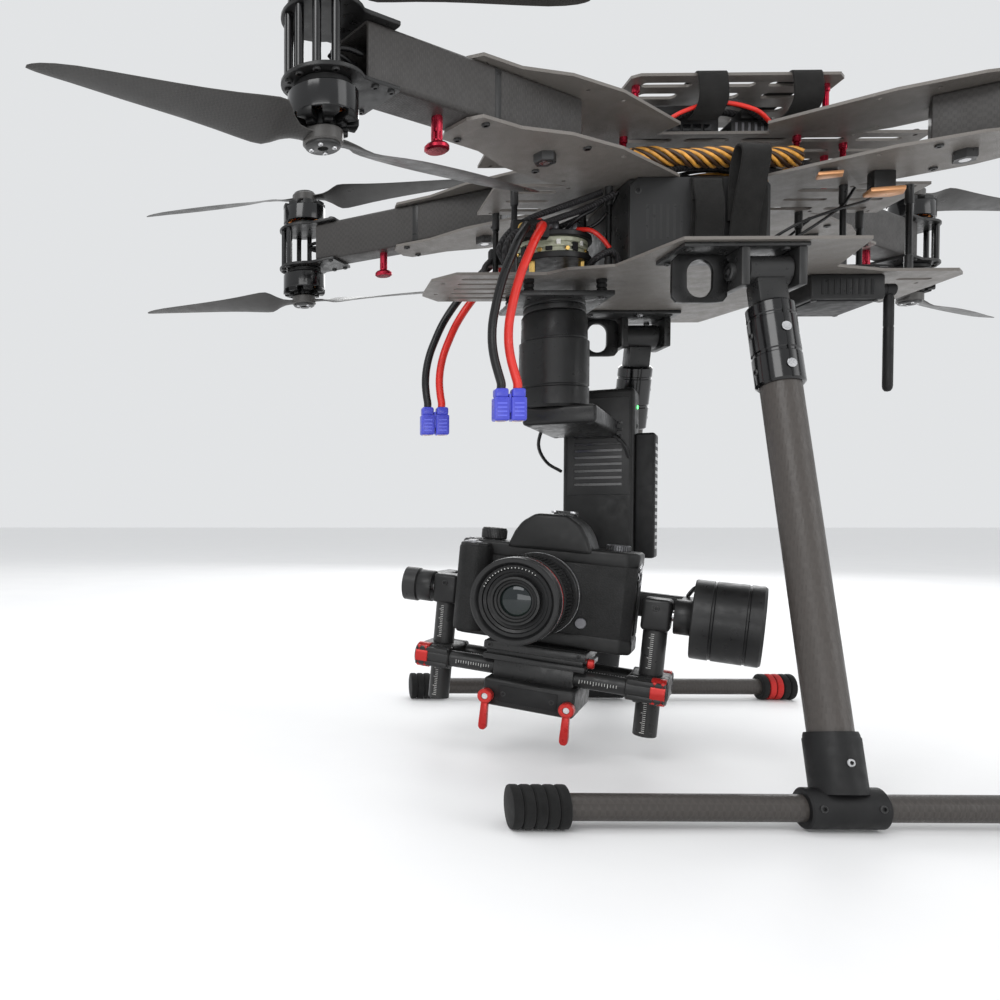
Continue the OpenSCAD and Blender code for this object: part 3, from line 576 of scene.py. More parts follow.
# ------------------------------------------------------------------ cords: battery leads
ROUTE_L = [(-146, -40, 404), (-146, -45, 404), (-147, -51, 402), (-150, -56, 397), (-155, -60, 389), (-160, -62, 378), (-165, -63, 366), (-169, -63, 353),
           (-172, -63, 340), (-174, -62, 327), (-174, -61, 314), (-172, -60, 302), (-169, -60, 291), (-167, -60, 284), (-167, -60, 280)]
ROUTE_R = [(-146, 40, 404), (-146, 45, 404), (-149, 51, 402), (-155, 55, 397), (-163, 57, 389), (-172, 58, 378), (-181, 58, 366), (-189, 57, 353),
           (-195, 56, 340), (-200, 55, 327), (-203, 54, 314), (-204, 53, 302), (-203, 53, 291), (-202, 53, 285), (-202, 53, 281)]
lead_table = {}
for side, route, px, py, pz in (("left", ROUTE_L, -167, -60, 280), ("right", ROUTE_R, -202, 53, 281)):
    # connector: two housings with lead-in ribs, keyed edge and metal sockets
    p = Part(Matrix.Translation((px - 6, py - 5.5, pz - 24)))
    for dx in (0, 12.5):
        p.box((dx, 0, 0), (dx + 11.5, 11, 17.5), PLUG_BLUE, 1.6, 3)
        p.box((dx + 0.7, 0.7, 17), (dx + 10.8, 10.3, 24), PLUG_BLUE, 1.8, 3)
        for k in range(4):
            p.box((dx + 2, -0.05, 3 + k * 3), (dx + 9.5, 0.6, 4.4 + k * 3), PLUG_BLUE, 0.25, 1)
        p.pipe((dx + 5.75, 5.5, -0.1), "Z", 4.1, 3.1, 2.5, BRASS, 0.2, 20)
    p.box((11.2, 2, 6), (12.8, 9, 20), PLUG_BLUE, 0.5)
    plug = p.done("plug_" + side + "_look", "airframe", "plug_blue", ["plug_" + side])
    for col, dx, mat in (("black", 0, LEAD_BLACK), ("red", 12, LEAD_RED)):
        pts = [(x + dx, y, z) for x, y, z in route]
        q = catmull(pts, 4)
        L = sum((b - a).length for a, b in zip(q, q[1:])) * K
        o = wire("lead_" + side + "_" + col + "_look", [pts], 3.3, mat, "airframe", ["lead_" + side + "_" + col], per=4, res=5)
        lead_table["lead_" + side + "_" + col] = round(L, 4)
print("leads", lead_table)

# ------------------------------------------------------------------ plates keep their CAD meshes
for n in ("lower_deck", "arm_plate_lower", "arm_plate_upper", "top_tray"):
    give(n, CARBON_PLATE)
    md = NODES[n].modifiers.new("edge", "BEVEL")
    md.width = 0.00035
    md.segments = 2
    md.limit_method = "ANGLE"
    md.angle_limit = math.radians(40)

# ------------------------------------------------------------------ standoffs, pivots and plate screws
p = Part()
posts = [(x, y) for x in (-150, -78, 100, 150) for y in (-29, 29)]
for x, y in posts:
    p.lathe([(0, ZD), (3, ZD), (3, ZD + 14), (2.3, ZD + 15), (2.3, 424), (3, 425), (3, 438.5), (0, 438.5)], (x, y, 0), "Z", BLACK_METAL, 20)
for x, y in [(-100, -24), (-100, 24), (-66, -26), (66, -26), (-66, 26), (66, 26), (110, -12), (110, 12)]:
    p.lathe([(0, 440.7), (3, 440.7), (3, 445), (2.2, 446), (2.2, 472), (3, 473), (3, 477.3), (0, 477.3)], (x, y, 0), "Z", RED_METAL, 20)
for x, y in [(-58, -28.5), (-58, 28.5), (86, -28.5), (86, 28.5)]:
    p.lathe([(0, 479.5), (3, 479.5), (3, 484), (2.3, 485), (2.3, 509), (3, 510), (3, 515), (0, 515)], (x, y, 0), "Z", RED_METAL, 20)
for sx, sy in ARMS.values():
    x, y = sx * PX, sy * PY
    p.cyl((x, y, 432.5), "Z", 4, 53, STEEL, 0.4, 24)
    p.lathe([(4, 432.5), (7.4, 432.5), (8, 433.3), (8, 438.5), (4, 438.5), (4, 432.5)], (x, y, 0), "Z", BLACK_METAL, 6)
    p.lathe([(4, 479.5), (8, 479.5), (8, 484.8), (7.2, 485.5), (4, 485.5), (4, 479.5)], (x, y, 0), "Z", BLACK_METAL, 28)
p.done("standoffs_look", "airframe", "post_metal", ["standoffs"])
s = Part()
for sx, sy in ARMS.values():
    A = arm_matrix(sx, sy)
    for x, y in ((-16, 23), (-16, -23), (70, 13), (70, -13), (-50, 26), (-50, -26)):
        if x != -50:
            s.screw((x, y, 479.5), "Z", 2.8, 1.5, None, A)
            s.screw((x, y, 438.5), "-Z", 2.8, 1.5, None, A)
for x in (-155, 155):
    for y in (-27, 27):
        s.screw((x, y, 479.5), "Z", 2.8, 1.5)
s.done("plate_screws", "airframe", "motor_metal")

# ------------------------------------------------------------------ round board stack
p = Part(Matrix.Translation((-114, 0, 0)))
for a in (45, 135, 225, 315):
    r = math.radians(a)
    p.cyl((27 * math.cos(r), 27 * math.sin(r), ZD), "Z", 2.5, 14, BRASS, 0.3, 6)
    p.screw((27 * math.cos(r), 27 * math.sin(r), 406), "Z", 2.2, 1.6, STEEL)
p.lathe([(0, 385), (31.4, 385), (32, 385.5), (32, 389.4), (31.4, 390), (0, 390)], (0, 0, 0), "Z", BLACK_SATIN, 64)
p.lathe([(0, 390), (28.4, 390), (29, 390.6), (29, 392), (27.6, 392.4), (27.6, 394), (29, 394.4), (29, 396), (27.6, 396.4), (27.6, 398), (29, 398.4), (29, 401.4), (28.4, 402), (0, 402)], (0, 0, 0), "Z", PCB, 64)
p.lathe([(0, 402), (31.4, 402), (32, 402.5), (32, 405.5), (31.4, 406), (0, 406)], (0, 0, 0), "Z", BLACK_SATIN, 64)
for i in range(26):
    a = math.radians(i * 360 / 26 + 3)
    c, sn = math.cos(a), math.sin(a)
    R = Matrix.Rotation(a, 4, "Z")
    if i % 3 == 0:
        p.box((27.4, -2.6, 391), (29.6, 2.6, 394.5 + 3 * (i % 2)), BLACK_PLASTIC, 0.3, 1, R)
    elif i % 3 == 1:
        p.box((27.8, -1.6, 395.5), (29.5, 1.6, 399.5), WHITE_PART, 0.3, 1, R)
    else:
        p.cyl((28.2, 0, 392.5), "X", 1.9, 1.6, BRASS, 0.3, 14, R)
for a in range(20, 341, 40):
    c, sn = math.cos(math.radians(a)), math.sin(math.radians(a))
    p.lathe([(0, 406), (3.6, 406), (4, 406.4), (4, 407.2), (3.7, 407.6), (4, 408), (4, 413.4), (3.6, 414), (2.6, 414), (2.5, 413.7), (0, 413.7)], (24 * c, 24 * sn, 0), "Z", GREY_METAL if a % 80 else BLACK_SATIN, 20)
for y in (-36, 36):
    p.box((-40, y - 4, 397), (-12, y + 4, 411), LEAD_RED if False else BLACK_PLASTIC, 1.2, 2)
    p.pipe((-32, y + (4 if y > 0 else -4), 404), "Y" if y > 0 else "-Y", 4.2, 3.2, 0.6, BRASS, 0.1, 20)
    p.pipe((-20, y + (4 if y > 0 else -4), 404), "Y" if y > 0 else "-Y", 4.2, 3.2, 0.6, BRASS, 0.1, 20)
    s0 = 1 if y > 0 else -1
    p.box((-24, min(s0 * 20, s0 * 34), 402.5), (-12, max(s0 * 20, s0 * 34), 406.2), BLACK_SATIN, 0.5)
p.done("power_board_look", "airframe", "board", ["power_board"])
wire("board_red_wires", [[(-136, -20, 409), (-141, -28, 411), (-145, -35, 409)], [(-126, -24, 410), (-131, -33, 412), (-137, -37, 408)], [(-128, 24, 410), (-133, 32, 412), (-139, 37, 408)],
                         [(-100, -24, 408), (-92, -31, 405), (-84, -33, 398), (-79, -35, 390)]], 1.7, LEAD_RED, "airframe")
wire("board_black_wires", [[(-108, -25, 409), (-102, -33, 414), (-91, -35, 420), (-80, -30, 430)], [(-96, -18, 409), (-86, -22, 412), (-78, -26, 420), (-72, -30, 434)], [(-120, 22, 409), (-112, 32, 414), (-95, 34, 424), (-80, 28, 432)]], 1.5, LEAD_BLACK, "airframe")

# ------------------------------------------------------------------ electronics box with the two big side panels
p = Part()
p.box((-70, -47, ZD), (34, 47, 438), BLACK_SATIN, 2.0)
for sy in (-1, 1):
    y0, y1 = (-50, -46.5) if sy < 0 else (46.5, 50)
    pts = [(-70, 372), (-70, 432), (-64, 438), (28, 438), (34, 432), (34, 384), (22, 371), (-62, 371)]
    M = Matrix.Translation((0, y1 if sy < 0 else y1, 0)) @ Matrix.Rotation(math.pi / 2, 4, "X")
    p.prism(pts, 0, 3.5, COVER, 0.9, 2, M)
    for x, z in ((-64, 378), (-64, 428), (27, 430), (27, 388)):
        p.screw((x, sy * 49.9, z), "Y" if sy > 0 else "-Y", 2.4, 0.5)
    for i in range(6):
        p.box((-58 + i * 5, sy * 50 - (0.45 if sy > 0 else 0.05), 392), (-56 + i * 5, sy * 50 + (0.05 if sy > 0 else 0.45), 418), BLACK_SATIN, 0.1, 1)
p.done("electronics_box_look", "airframe", "cover_plastic", ["electronics_box"])

# ------------------------------------------------------------------ straps: flat bands with loose loops
def band(part, pts, w, th, mat, side=(1, 0, 0)):
    """Flat ribbon of width w along side, swept through points."""
    P = catmull(pts, 5)
    t = bmesh.new()
    rows = []
    sd = Vector(side)
    for i, q in enumerate(P):
        d = (P[min(i + 1, len(P) - 1)] - P[max(i - 1, 0)]).normalized()
        n = d.cross(sd).normalized()
        rows.append([t.verts.new(q + sd * (w / 2) * a + n * (th / 2) * b) for a, b in ((-1, -0.6), (-0.96, -1), (0.96, -1), (1, -0.6), (1, 0.6), (0.96, 1), (-0.96, 1), (-1, 0.6))])
    for a, b in zip(rows, rows[1:]):
        for i in range(8):
            j = (i + 1) % 8
            t.faces.new([a[i], a[j], b[j], b[i]])
    t.faces.new(rows[0]); t.faces.new(rows[-1])
    bmesh.ops.recalc_face_normals(t, faces=t.faces)
    part._merge(t, mat, None)

p = Part()
for x in (-14, 18):
    for sy in (-1, 1):
        band(p, [(x, sy * 51.2, 372), (x, sy * 51.3, 395), (x + 1, sy * 51.4, 415), (x, sy * 51.2, 437)], 24, 2.0, VELCRO)
p.done("straps_side_look", "airframe", "hook_strap", ["battery_straps"])
p = Part()
for x in (-8, 62):
    band(p, [(x, -43, 518.2), (x, -20, 518.4), (x, 0, 518.3), (x, 20, 518.4), (x, 43, 518.2)], 22, 1.6, VELCRO)
    band(p, [(x, -42, 518), (x, -45.6, 516.5), (x + 1, -46, 508), (x + 2, -44, 498), (x + 1, -38, 491), (x, -30, 489)], 22, 1.6, VELCRO)
    band(p, [(x, 42, 518), (x, 45.6, 516.5), (x - 1, 46, 508), (x - 2, 44, 498), (x - 1, 38, 491), (x, 30, 489)], 22, 1.6, VELCRO)
p.done("straps_tray_look", "airframe", "hook_strap")
p = Part()
band(p, [(12, -53.2, 384), (12, -55.6, 402), (13, -61, 424), (14, -66.5, 444), (14, -66, 453), (13, -60, 456), (12, -55.5, 447), (11, -53.8, 428), (11, -53.6, 404)], 21, 1.7, VELCRO)
band(p, [(-14, -53.2, 380), (-14, -56, 396), (-15, -59, 414), (-16, -57, 428), (-15, -54, 434), (-15, -53.4, 420)], 21, 1.7, VELCRO)
band(p, [(12, 53.2, 384), (12, 55.6, 402), (13, 61, 424), (13, 62, 434), (12, 56.5, 438), (11, 53.8, 426), (11, 53.6, 404)], 21, 1.7, VELCRO)
p.done("strap_loops", "airframe", "hook_strap")

# ------------------------------------------------------------------ servo-wire bundle and cables
strands = {"orange": [], "brown": [], "black": []}
for k in range(12):
    pts = []
    ph = rnd.uniform(0, 6.28)
    rad = rnd.uniform(3.2, 8.3)
    for i in range(11):
        x = -91 + 144 * i / 10
        a = ph + i * 0.62
        pts.append((x, -6 + rad * math.cos(a), 451 + rad * math.sin(a) * 0.98))
    strands[("orange", "brown", "black")[k % 3]].append(pts)
wire("wire_loom_look", strands["orange"], 1.45, ORANGE_WIRE, "airframe", ["wire_loom"])
wire("wire_loom_brown", strands["brown"], 1.4, BROWN_WIRE, "airframe")
wire("wire_loom_black", strands["black"], 1.4, LEAD_BLACK, "airframe")
wire("loom_fan_orange", [[(-70, -18 + i * 3, 449), (-84, -26 + i * 2, 452 + i), (-97, -31 + i, 449 + i * 2), (-106, -29 - i * 0.5, 440.9 + 3 + i)] for i in range(5)], 1.2, ORANGE_WIRE, "airframe")
wire("loom_fan_black", [[(-66, -14 + i * 3, 453), (-82, -23 + i * 2, 458), (-96, -28, 455 + i * 2), (-108, -25 - i, 449 + i)] for i in range(4)], 1.2, LEAD_BLACK, "airframe")
wire("loom_fan_rear", [[(50, -10 + i * 3, 450), (64, -14 + i * 2, 454 + i), (80, -18, 451 + i * 2), (98, -22 - i, 447)] for i in range(5)], 1.2, ORANGE_WIRE, "airframe")
wire("braided_cables", [[(-62, -31, 446), (-30, -36, 450), (0, -35, 452), (30, -36, 449), (56, -30, 446)], [(-62, -24, 459), (-28, -30, 462), (10, -28, 461), (50, -30, 460), (80, -22, 455)],
                        [(-60, 24, 450), (-20, 30, 455), (20, 28, 458), (60, 22, 450)], [(-90, -12, 466), (-40, -18, 468), (0, -22, 467), (46, -14, 467)]], 3.4, BRAID, "airframe")
side = {0: [], 1: []}
for k in range(10):
    pts = []
    ph = k * 0.628
    for i in range(19):
        x = -66 + 126 * i / 18
        rad = 6.2 + 1.2 * math.sin(i * 0.9 + k)
        pts.append((x, -41 + rad * math.cos(ph + i * 0.85), 456 + 0.9 * rad * math.sin(ph + i * 0.85)))
    side[k % 2].append(pts)
wire("side_loom_orange", side[0], 1.35, ORANGE_WIRE, "airframe")
wire("side_loom_brown", side[1], 1.35, BROWN_WIRE, "airframe")
wire("front_cables", [[(-152, -26, 376), (-158, -33, 388), (-154, -40, 399), (-140, -41, 404), (-120, -37, 412), (-96, -34, 421), (-76, -36, 431)],
                      [(-150, -22, 376), (-160, -24, 392), (-154, -31, 404), (-138, -33, 414), (-112, -34, 423), (-84, -30, 434)],
                      [(-150, 22, 376), (-160, 26, 390), (-152, 34, 402), (-134, 36, 414), (-108, 34, 424), (-82, 30, 434)],
                      [(-74, -42, 376), (-82, -47, 384), (-92, -46, 380), (-96, -40, 376)]], 2.5, BRAID, "airframe")
wire("deck_fine_wires", [[(36, -40, 380), (52, -48, 392), (70, -50, 404), (90, -44, 418), (104, -36, 434)], [(36, -34, 392), (56, -46, 404), (84, -48, 414), (112, -40, 424), (122, -30, 436)],
                         [(36, 34, 392), (60, 44, 404), (90, 44, 416), (112, 34, 434)]], 1.1, LEAD_BLACK, "airframe")
wire("tray_cable_red", [[(-40, -33, 484), (-25, -37, 492), (0, -38, 498), (28, -37, 493), (44, -32, 484)]], 1.6, LEAD_RED, "airframe")
wire("tray_cables", [[(-50, -20, 484), (-20, -30, 494), (14, -33, 500), (44, -25, 490), (70, -20, 484)], [(-48, 10, 485), (-10, 20, 496), (30, 18, 496), (66, 8, 485)], [(-52, -4, 488), (-20, -8, 500), (20, -12, 502), (60, -10, 488)]], 2.6, BRAID, "airframe")

# modules stacked on the upper plate under the tray
p = Part()
p.box((-46, -24, 479.6), (8, 24, 497), BLACK_PLASTIC, 2, 3)
p.box((-42, -20, 496.5), (4, 20, 505), COVER, 2.5, 3)
p.box((18, -22, 479.6), (70, 22, 492), BLACK_SATIN, 1.5, 2)
p.box((24, -25, 492), (40, -8, 499), BLACK_PLASTIC, 1.2, 2)
for i in range(9):
    p.box((21 + i * 5, -22.3, 481.5), (23 + i * 5, -21.7, 490), GREY_METAL, 0.2, 1)
for i in range(6):
    p.box((-44 + i * 8, -24.8, 482.5), (-38 + i * 8, -23.8, 488), BLACK_GLOSS, 0.3, 1)
p.done("flight_modules", "airframe", "black_plastic")
# two bare copper plates on the front strut, as small heat-spreading tabs
p = Part()
p.prism([(84, -30), (93, -34), (97, -30), (97, -24), (88, -22)], 484, 487.4, COPPER_PLATE, 0.8, 2)
p.prism([(104, -24), (114, -26), (117, -20), (110, -16), (103, -18)], 479.6, 483, COPPER_PLATE, 0.8, 2)
p.box((82, -33, 479.6), (99, -20, 484), BLACK_METAL, 1)
p.prism([(100, -61), (122, -66), (127, -56), (121, -50), (102, -48)], 422, 425.2, COPPER_PLATE, 0.8, 2)
p.box((103, -60, 425), (119, -51, 438.4), BLACK_METAL, 1)
p.prism([(60, -64), (76, -68), (80, -60), (64, -54)], 433, 435.6, COPPER_PLATE, 0.7, 2)
p.box((64, -63, 435.4), (75, -58, 438.4), BLACK_METAL, 0.8)
p.done("tab_plates", "airframe", "bracket_metal")

# whisker antennas
wire("whisker_antennas", [[(94, -20, 492), (103, -27, 498), (115, -32, 499), (126, -37, 494)], [(60, 26, 486), (76, 34, 496), (96, 38, 499), (118, 43, 493)]], 0.7, LEAD_BLACK, "airframe")

# ------------------------------------------------------------------ brackets
p = Part()
for sgn in (-1, 1):
    y0 = 72 if sgn > 0 else -118
    p.box((-60, y0, 365.8), (24, y0 + 46, 368.8), BLACK_METAL, 0.8)
    # side plate with an oval window
    t = bmesh.new()
    outer, inner = [], []
    n = 32
    for i in range(n):
        a = 2 * math.pi * i / n
        c, sn = math.cos(a), math.sin(a)
        k = min(19 / max(abs(c), 1e-6), 16.5 / max(abs(sn), 1e-6))
        k = min(k, 22.5)
        outer.append((c * k, sn * k))
        inner.append((9 * c, (9 * sn) + (4 if sn >= 0 else -4)))
    y1, y2 = (96, 100) if sgn > 0 else (-100, -96)
    V = {}
    for nm, pts in (("o", outer), ("i", inner)):
        for yy in (y1, y2):
            V[nm, yy] = [t.verts.new((-41 + x, yy, 349.3 + z)) for x, z in pts]
    for i in range(n):
        j = (i + 1) % n
        t.faces.new([V["o", y1][i], V["o", y1][j], V["o", y2][j], V["o", y2][i]])
        t.faces.new([V["i", y1][i], V["i", y1][j], V["i", y2][j], V["i", y2][i]])
        for yy in (y1, y2):
            t.faces.new([V["o", yy][i], V["o", yy][j], V["i", yy][j], V["i", yy][i]])
    bmesh.ops.recalc_face_normals(t, faces=t.faces)
    es = [e for e in t.edges if e.calc_face_angle(0) > 0.9]
    bmesh.ops.bevel(t, geom=es, offset=0.5, segments=2, profile=0.5, affect="EDGES")
    p._merge(t, BLACK_METAL, None)
    for x in (-22, 16):
        yy = 88 if sgn > 0 else -118
        p.box((x, yy, 340), (x + 6, yy + 30, 365.9), BLACK_METAL, 1.2)
    p.cyl((-24, sgn * 105, 352), "X", 4, 48, STEEL, 0.5, 28)
    p.screw((-22, sgn * 105, 352), "-X", 6.2, 3, BLACK_METAL)
    p.screw((22, sgn * 105, 352), "X", 6.2, 3, BLACK_METAL)
    for x, y in ((-54, 78), (-54, 112), (-10, 78), (16, 78), (10, 113)):
        p.screw((x, sgn * y, 365.8), "-Z", 2.6, 1.5, STEEL if x == -10 else None)
p.done("leg_brackets_look", "airframe", "bracket_metal", ["leg_brackets"])

# ------------------------------------------------------------------ receiver box and antenna
p = Part()
p.box((70, -40, 350), (126, 18, 368.8), BLACK_SATIN, 2.0, 3)
for i in range(9):
    p.box((78 + i * 4.6, -40.4, 353), (80.4 + i * 4.6, -39.6, 365), BLACK_PLASTIC, 0.3, 1)
p.box((74, -36, 348.9), (122, 14, 350.4), BLACK_PLASTIC, 0.6, 2)
for x, y in ((75, -35), (121, -35), (75, 13), (121, 13)):
    p.screw((x, y, 350), "-Z", 2.0, 1.2)
p.cyl((125, -30, 359), "X", 2.5, 6, STEEL, 0.4, 20)
p.box((96, -26, ZD), (142, -6, ZD + 9), BLACK_PLASTIC, 1.4, 2)
for i in range(4):
    p.box((100 + i * 10, -26.4, 373), (107 + i * 10, -25.7, 378), WHITE_PART if i == 1 else BLACK_GLOSS, 0.3, 1)
p.done("receiver_box_look", "airframe", "black_plastic", ["receiver_box"])
p = Part()
p.lathe([(2.55, 0), (4.2, 0), (4.6, 0.5), (4.6, 3), (4.2, 3.4), (4.6, 3.8), (4.6, 10.5), (4.2, 11), (2.55, 11), (2.55, 0)], (128, -30, 359), "X", BLACK_PLASTIC, 28)
p.lathe([(0, 281.4), (2.0, 281.9), (3.2, 283.6), (3.6, 286), (3.6, 330), (3.3, 331), (3.6, 332), (3.6, 352), (3.0, 355), (0, 356)], (135, -30, 0), "Z", BLACK_PLASTIC, 28)
p.done("stick_antenna_look", "antenna", "black_plastic", ["stick_antenna"])

# ------------------------------------------------------------------ legs and skids
LEG = math.hypot(90, 339)
TILT = math.atan2(90, 339)
for s0, side in ((-1, "left"), (1, "right")):
    M = Matrix.Translation((0, s0 * 105, 352)) @ Matrix.Rotation(s0 * TILT, 4, "X")
    p = Part(M)
    p.pipe((-15, 0, 0), "X", 10.5, 4.06, 30, BLACK_METAL, 0.8, 40)
    p.box((-10, -8, -34), (10, 8, -8), BLACK_METAL, 1.4, 2)
    p.lathe([(0, -84), (13.6, -84), (15, -82.6), (15, -64), (14.2, -63.2), (14.2, -61.6), (15, -60.8), (15, -38), (14.4, -37.4), (14.4, -36), (15, -35.4), (15, -28), (13, -26), (0, -26)], (0, 0, 0), "Z", BLACK_GLOSS, 48)
    p.lathe([(0, -LEG + 14), (12.5, -LEG + 14), (12.5, -76), (0, -76)], (0, 0, 0), "Z", CARBON_TUBE, 48)
    p.lathe([(0, -LEG + 8), (15.5, -LEG + 8), (15.5, -LEG + 40), (14.9, -LEG + 41), (14.9, -LEG + 42), (14.2, -LEG + 44), (0, -LEG + 44)], (0, 0, 0), "Z", BLACK_PLASTIC, 48)
    p.pipe((-23, 0, -LEG), "X", 12, 8.03, 46, BLACK_PLASTIC, 1.0, 48)
    # collar clamp screws and split
    for z in (-74, -48):
        p.cyl((0, -s0 * 0 - 15.3 if s0 < 0 else 15.3, z), "-Y" if s0 < 0 else "Y", 3.2, 0.9, STEEL, 0.3, 24)
        p.screw((14.2, 0, z), "X", 2.2, 1.6)
        p.screw((-14.2, 0, z), "-X", 2.2, 1.6)
    p.box((-0.5, -15.3, -83), (0.5, -14.4, -27), BLACK_PLASTIC, 0.1, 1)
    p.screw((0, s0 * 14.9, -LEG + 26), "Y" if s0 > 0 else "-Y", 2.4, 1.5, STEEL)
    p.screw((-17, s0 * 11.6, -LEG), "Y" if s0 > 0 else "-Y", 2.2, 1.2)
    p.screw((17, s0 * 11.6, -LEG), "Y" if s0 > 0 else "-Y", 2.2, 1.2)
    p.done("leg_" + side + "_look", "leg_" + side, "carbon_tube", ["leg_" + side])
    p = Part(Matrix.Translation((0, s0 * 195, 13)))
    p.cyl((-192, 0, 0), "X", 8, 384, CARBON_TUBE, 0.6, 40)
    for e in (-1, 1):
        for i in range(5):
            x = 161 + i * 7
            xs = x if e > 0 else -x - 6
            m = FOAM_RED if (e > 0 and i in (1, 2)) else FOAM
            if i < 4:
                p.lathe([(8.05, 0.1), (12.2, 0), (12.8, 0.5), (13, 1.4), (13, 4.6), (12.8, 5.5), (12.2, 6), (8.05, 5.9), (8.05, 0.1)], (xs, 0, 0), "X", m, 40)
            elif e > 0:
                p.lathe([(8.05, 0.1), (12.2, 0), (12.8, 0.5), (13, 1.4), (13, 4.6), (12.6, 5.6), (11, 6), (0, 6), (0, 3)], (xs, 0, 0), "X", m, 40)
            else:
                p.lathe([(8.05, 0.1), (12.2, 0), (12.8, 0.5), (13, 1.4), (13, 4.6), (12.6, 5.6), (11, 6), (0, 6), (0, 3)], (xs + 6, 0, 0), "-X", m, 40)
            if i < 4:
                xg = x + 6 if e > 0 else -x - 7
                p.lathe([(8.05, 0), (11, 0), (11, 1), (8.05, 1), (8.05, 0)], (xg, 0, 0), "X", RUBBER, 32)
    p.done("skid_" + side + "_look", "leg_" + side, "carbon_tube", ["skid_" + side])

# ------------------------------------------------------------------ gimbal
p = Part(Matrix.Translation((-110, 0, 0)))
p.box((-36, -34, 355), (36, 34, 359), BLACK_METAL, 1.0, 2)
p.lathe([(5.1, 348), (23.4, 348), (24, 348.6), (24, 352), (23.4, 352.6), (23.4, 353.4), (24, 354), (24, 355.5), (5.1, 355.5), (5.1, 348)], (0, 0, 0), "Z", BLACK_SATIN, 56)
for x in (-28, 28):
    for y in (-27, 27):
        p.lathe([(0, 358.5), (3.6, 358.5), (4, 359.5), (4, 361), (3.2, 362), (4.0, 363.2), (4.0, 364.6), (3.2, 365.6), (4, 366.6), (4, 368.8), (0, 368.8)], (x, y, 0), "Z", RUBBER, 24)
        p.screw((x, y, 355), "-Z", 2.4, 1.4)
p.done("gimbal_mount_look", "airframe", "gimbal_metal", ["gimbal_mount"])

# yaw arm: yaw motor can, link, controller box, battery block, roll motor can
p = Part(MG)
p.lathe([(5.0, 347.6), (21, 347.6), (24, 347.2), (25.4, 345), (25.6, 327), (25.2, 326.4), (25.2, 325.4), (27, 324.6), (27, 290), (26.4, 289.2), (26.4, 288.2), (27, 287.4), (27, 274), (25.6, 272), (0, 272), (0, 347.6)], (0, 0, 0), "Z", BLACK_SATIN, 72)
p.cyl((0, 0, 346), "Z", 5, 10.6, STEEL, 0.5, 28)
for i in range(6):
    a = math.radians(i * 60 + 20)
    p.screw((19 * math.cos(a), 19 * math.sin(a), 347.3), "Z", 1.6, 0.5)
p.box((-20, -22, 258), (36, 99, 272.5), BLACK_SATIN, 3.0, 3)
p.box((-16, -18, 256.9 + 1.2), (32, 94, 258.6), BLACK_PLASTIC, 0.4, 2)
for x, y in ((-15, -17), (31, -17), (-15, 92), (31, 92)):
    p.screw((x, y, 258.2), "-Z", 2.0, 0.6)
p.box((-10, 98, 96), (50, 132, 300), CAM_PLASTIC, 4.0, 4)
p.box((-6, 97.4, 206), (46, 99, 292), COVER, 0.6, 2)
for i in range(10):
    p.box((0, 97.0, 214 + i * 6), (40, 98.2, 216.6 + i * 6), BLACK_GLOSS, 0.2, 1)
p.box((-10.6, 104, 180), (-9.4, 126, 286), COVER, 0.5, 2)
p.box((49.5, 102, 150), (66.5, 128, 260), BLACK_PLASTIC, 2.5, 3)
for i in range(16):
    p.box((66.0, 105, 158 + i * 6), (67.0 - 0.45, 125, 161 + i * 6), BLACK_GLOSS, 0.2, 1)
for z in (143, 267):
    p.screw((50, 115, z), "X", 2.2, 0.8)
p.lathe([(5.1, 0), (24.6, 0), (26, 1.4), (26, 22), (25.4, 22.6), (25.4, 23.4), (26, 24), (26, 38), (5.1, 38), (5.1, 0)], (0, 60, 120), "Y", BLACK_SATIN, 64)
p.box((-8, 97.2, 268), (8, 98.3, 274), BLACK_GLOSS, 0.3, 1)
p.done("yaw_arm_look", "gimbal_yaw", "gimbal_metal", ["yaw_arm"])
p = Part(MG)
p.cyl((50.2, 115, 284), "X", 1.7, 0.7, LED, 0.2, 16)
p.done("status_led", "gimbal_yaw")
wire("yaw_cable", [[(-14, 40, 270), (-24, 60, 250), (-22, 84, 236), (-12, 100, 228)], [(30, 96, 262), (42, 94, 250), (46, 97, 238)]], 1.5, LEAD_BLACK, "gimbal_yaw", M=MG)

# roll arm: disc, rear beam, side arms, pitch motor and idler pivot
p = Part(MC)
p.lathe([(0, 0), (22.8, 0), (24, 1.2), (24, 9), (23.4, 9.6), (23.4, 10.4), (24, 11), (24, 17.6), (23, 18.6), (5, 18.6), (5, 60.6), (0, 60.6)], (0, 61, 120), "Y", BLACK_SATIN, 64)
p.box((-104, 61, 110), (104, 72, 130), BLACK_SATIN, 2.2, 3)
for x in (-104, 92):
    p.box((x, 10, 110), (x + 12, 70, 130), BLACK_SATIN, 2.2, 3)
    # rounded end round the pitch pivot
    p.lathe([(4.1, 0), (12.6, 0), (13, 0.6), (13, 11.4), (12.6, 12), (4.1, 12), (4.1, 0)], (x, 0, 120), "X", BLACK_SATIN, 48)
    p.box((x + 0.4, 8, 111), (x + 11.6, 16, 129), BLACK_SATIN, 1.2, 2)
for x in (-70, -40, 40, 70):
    p.screw((x, 61, 120), "-Y", 2.2, 0.9)
for x in (-90, 90):
    for z in (114, 126):
        p.screw((x, 72, z), "Y", 2.2, 0.9)
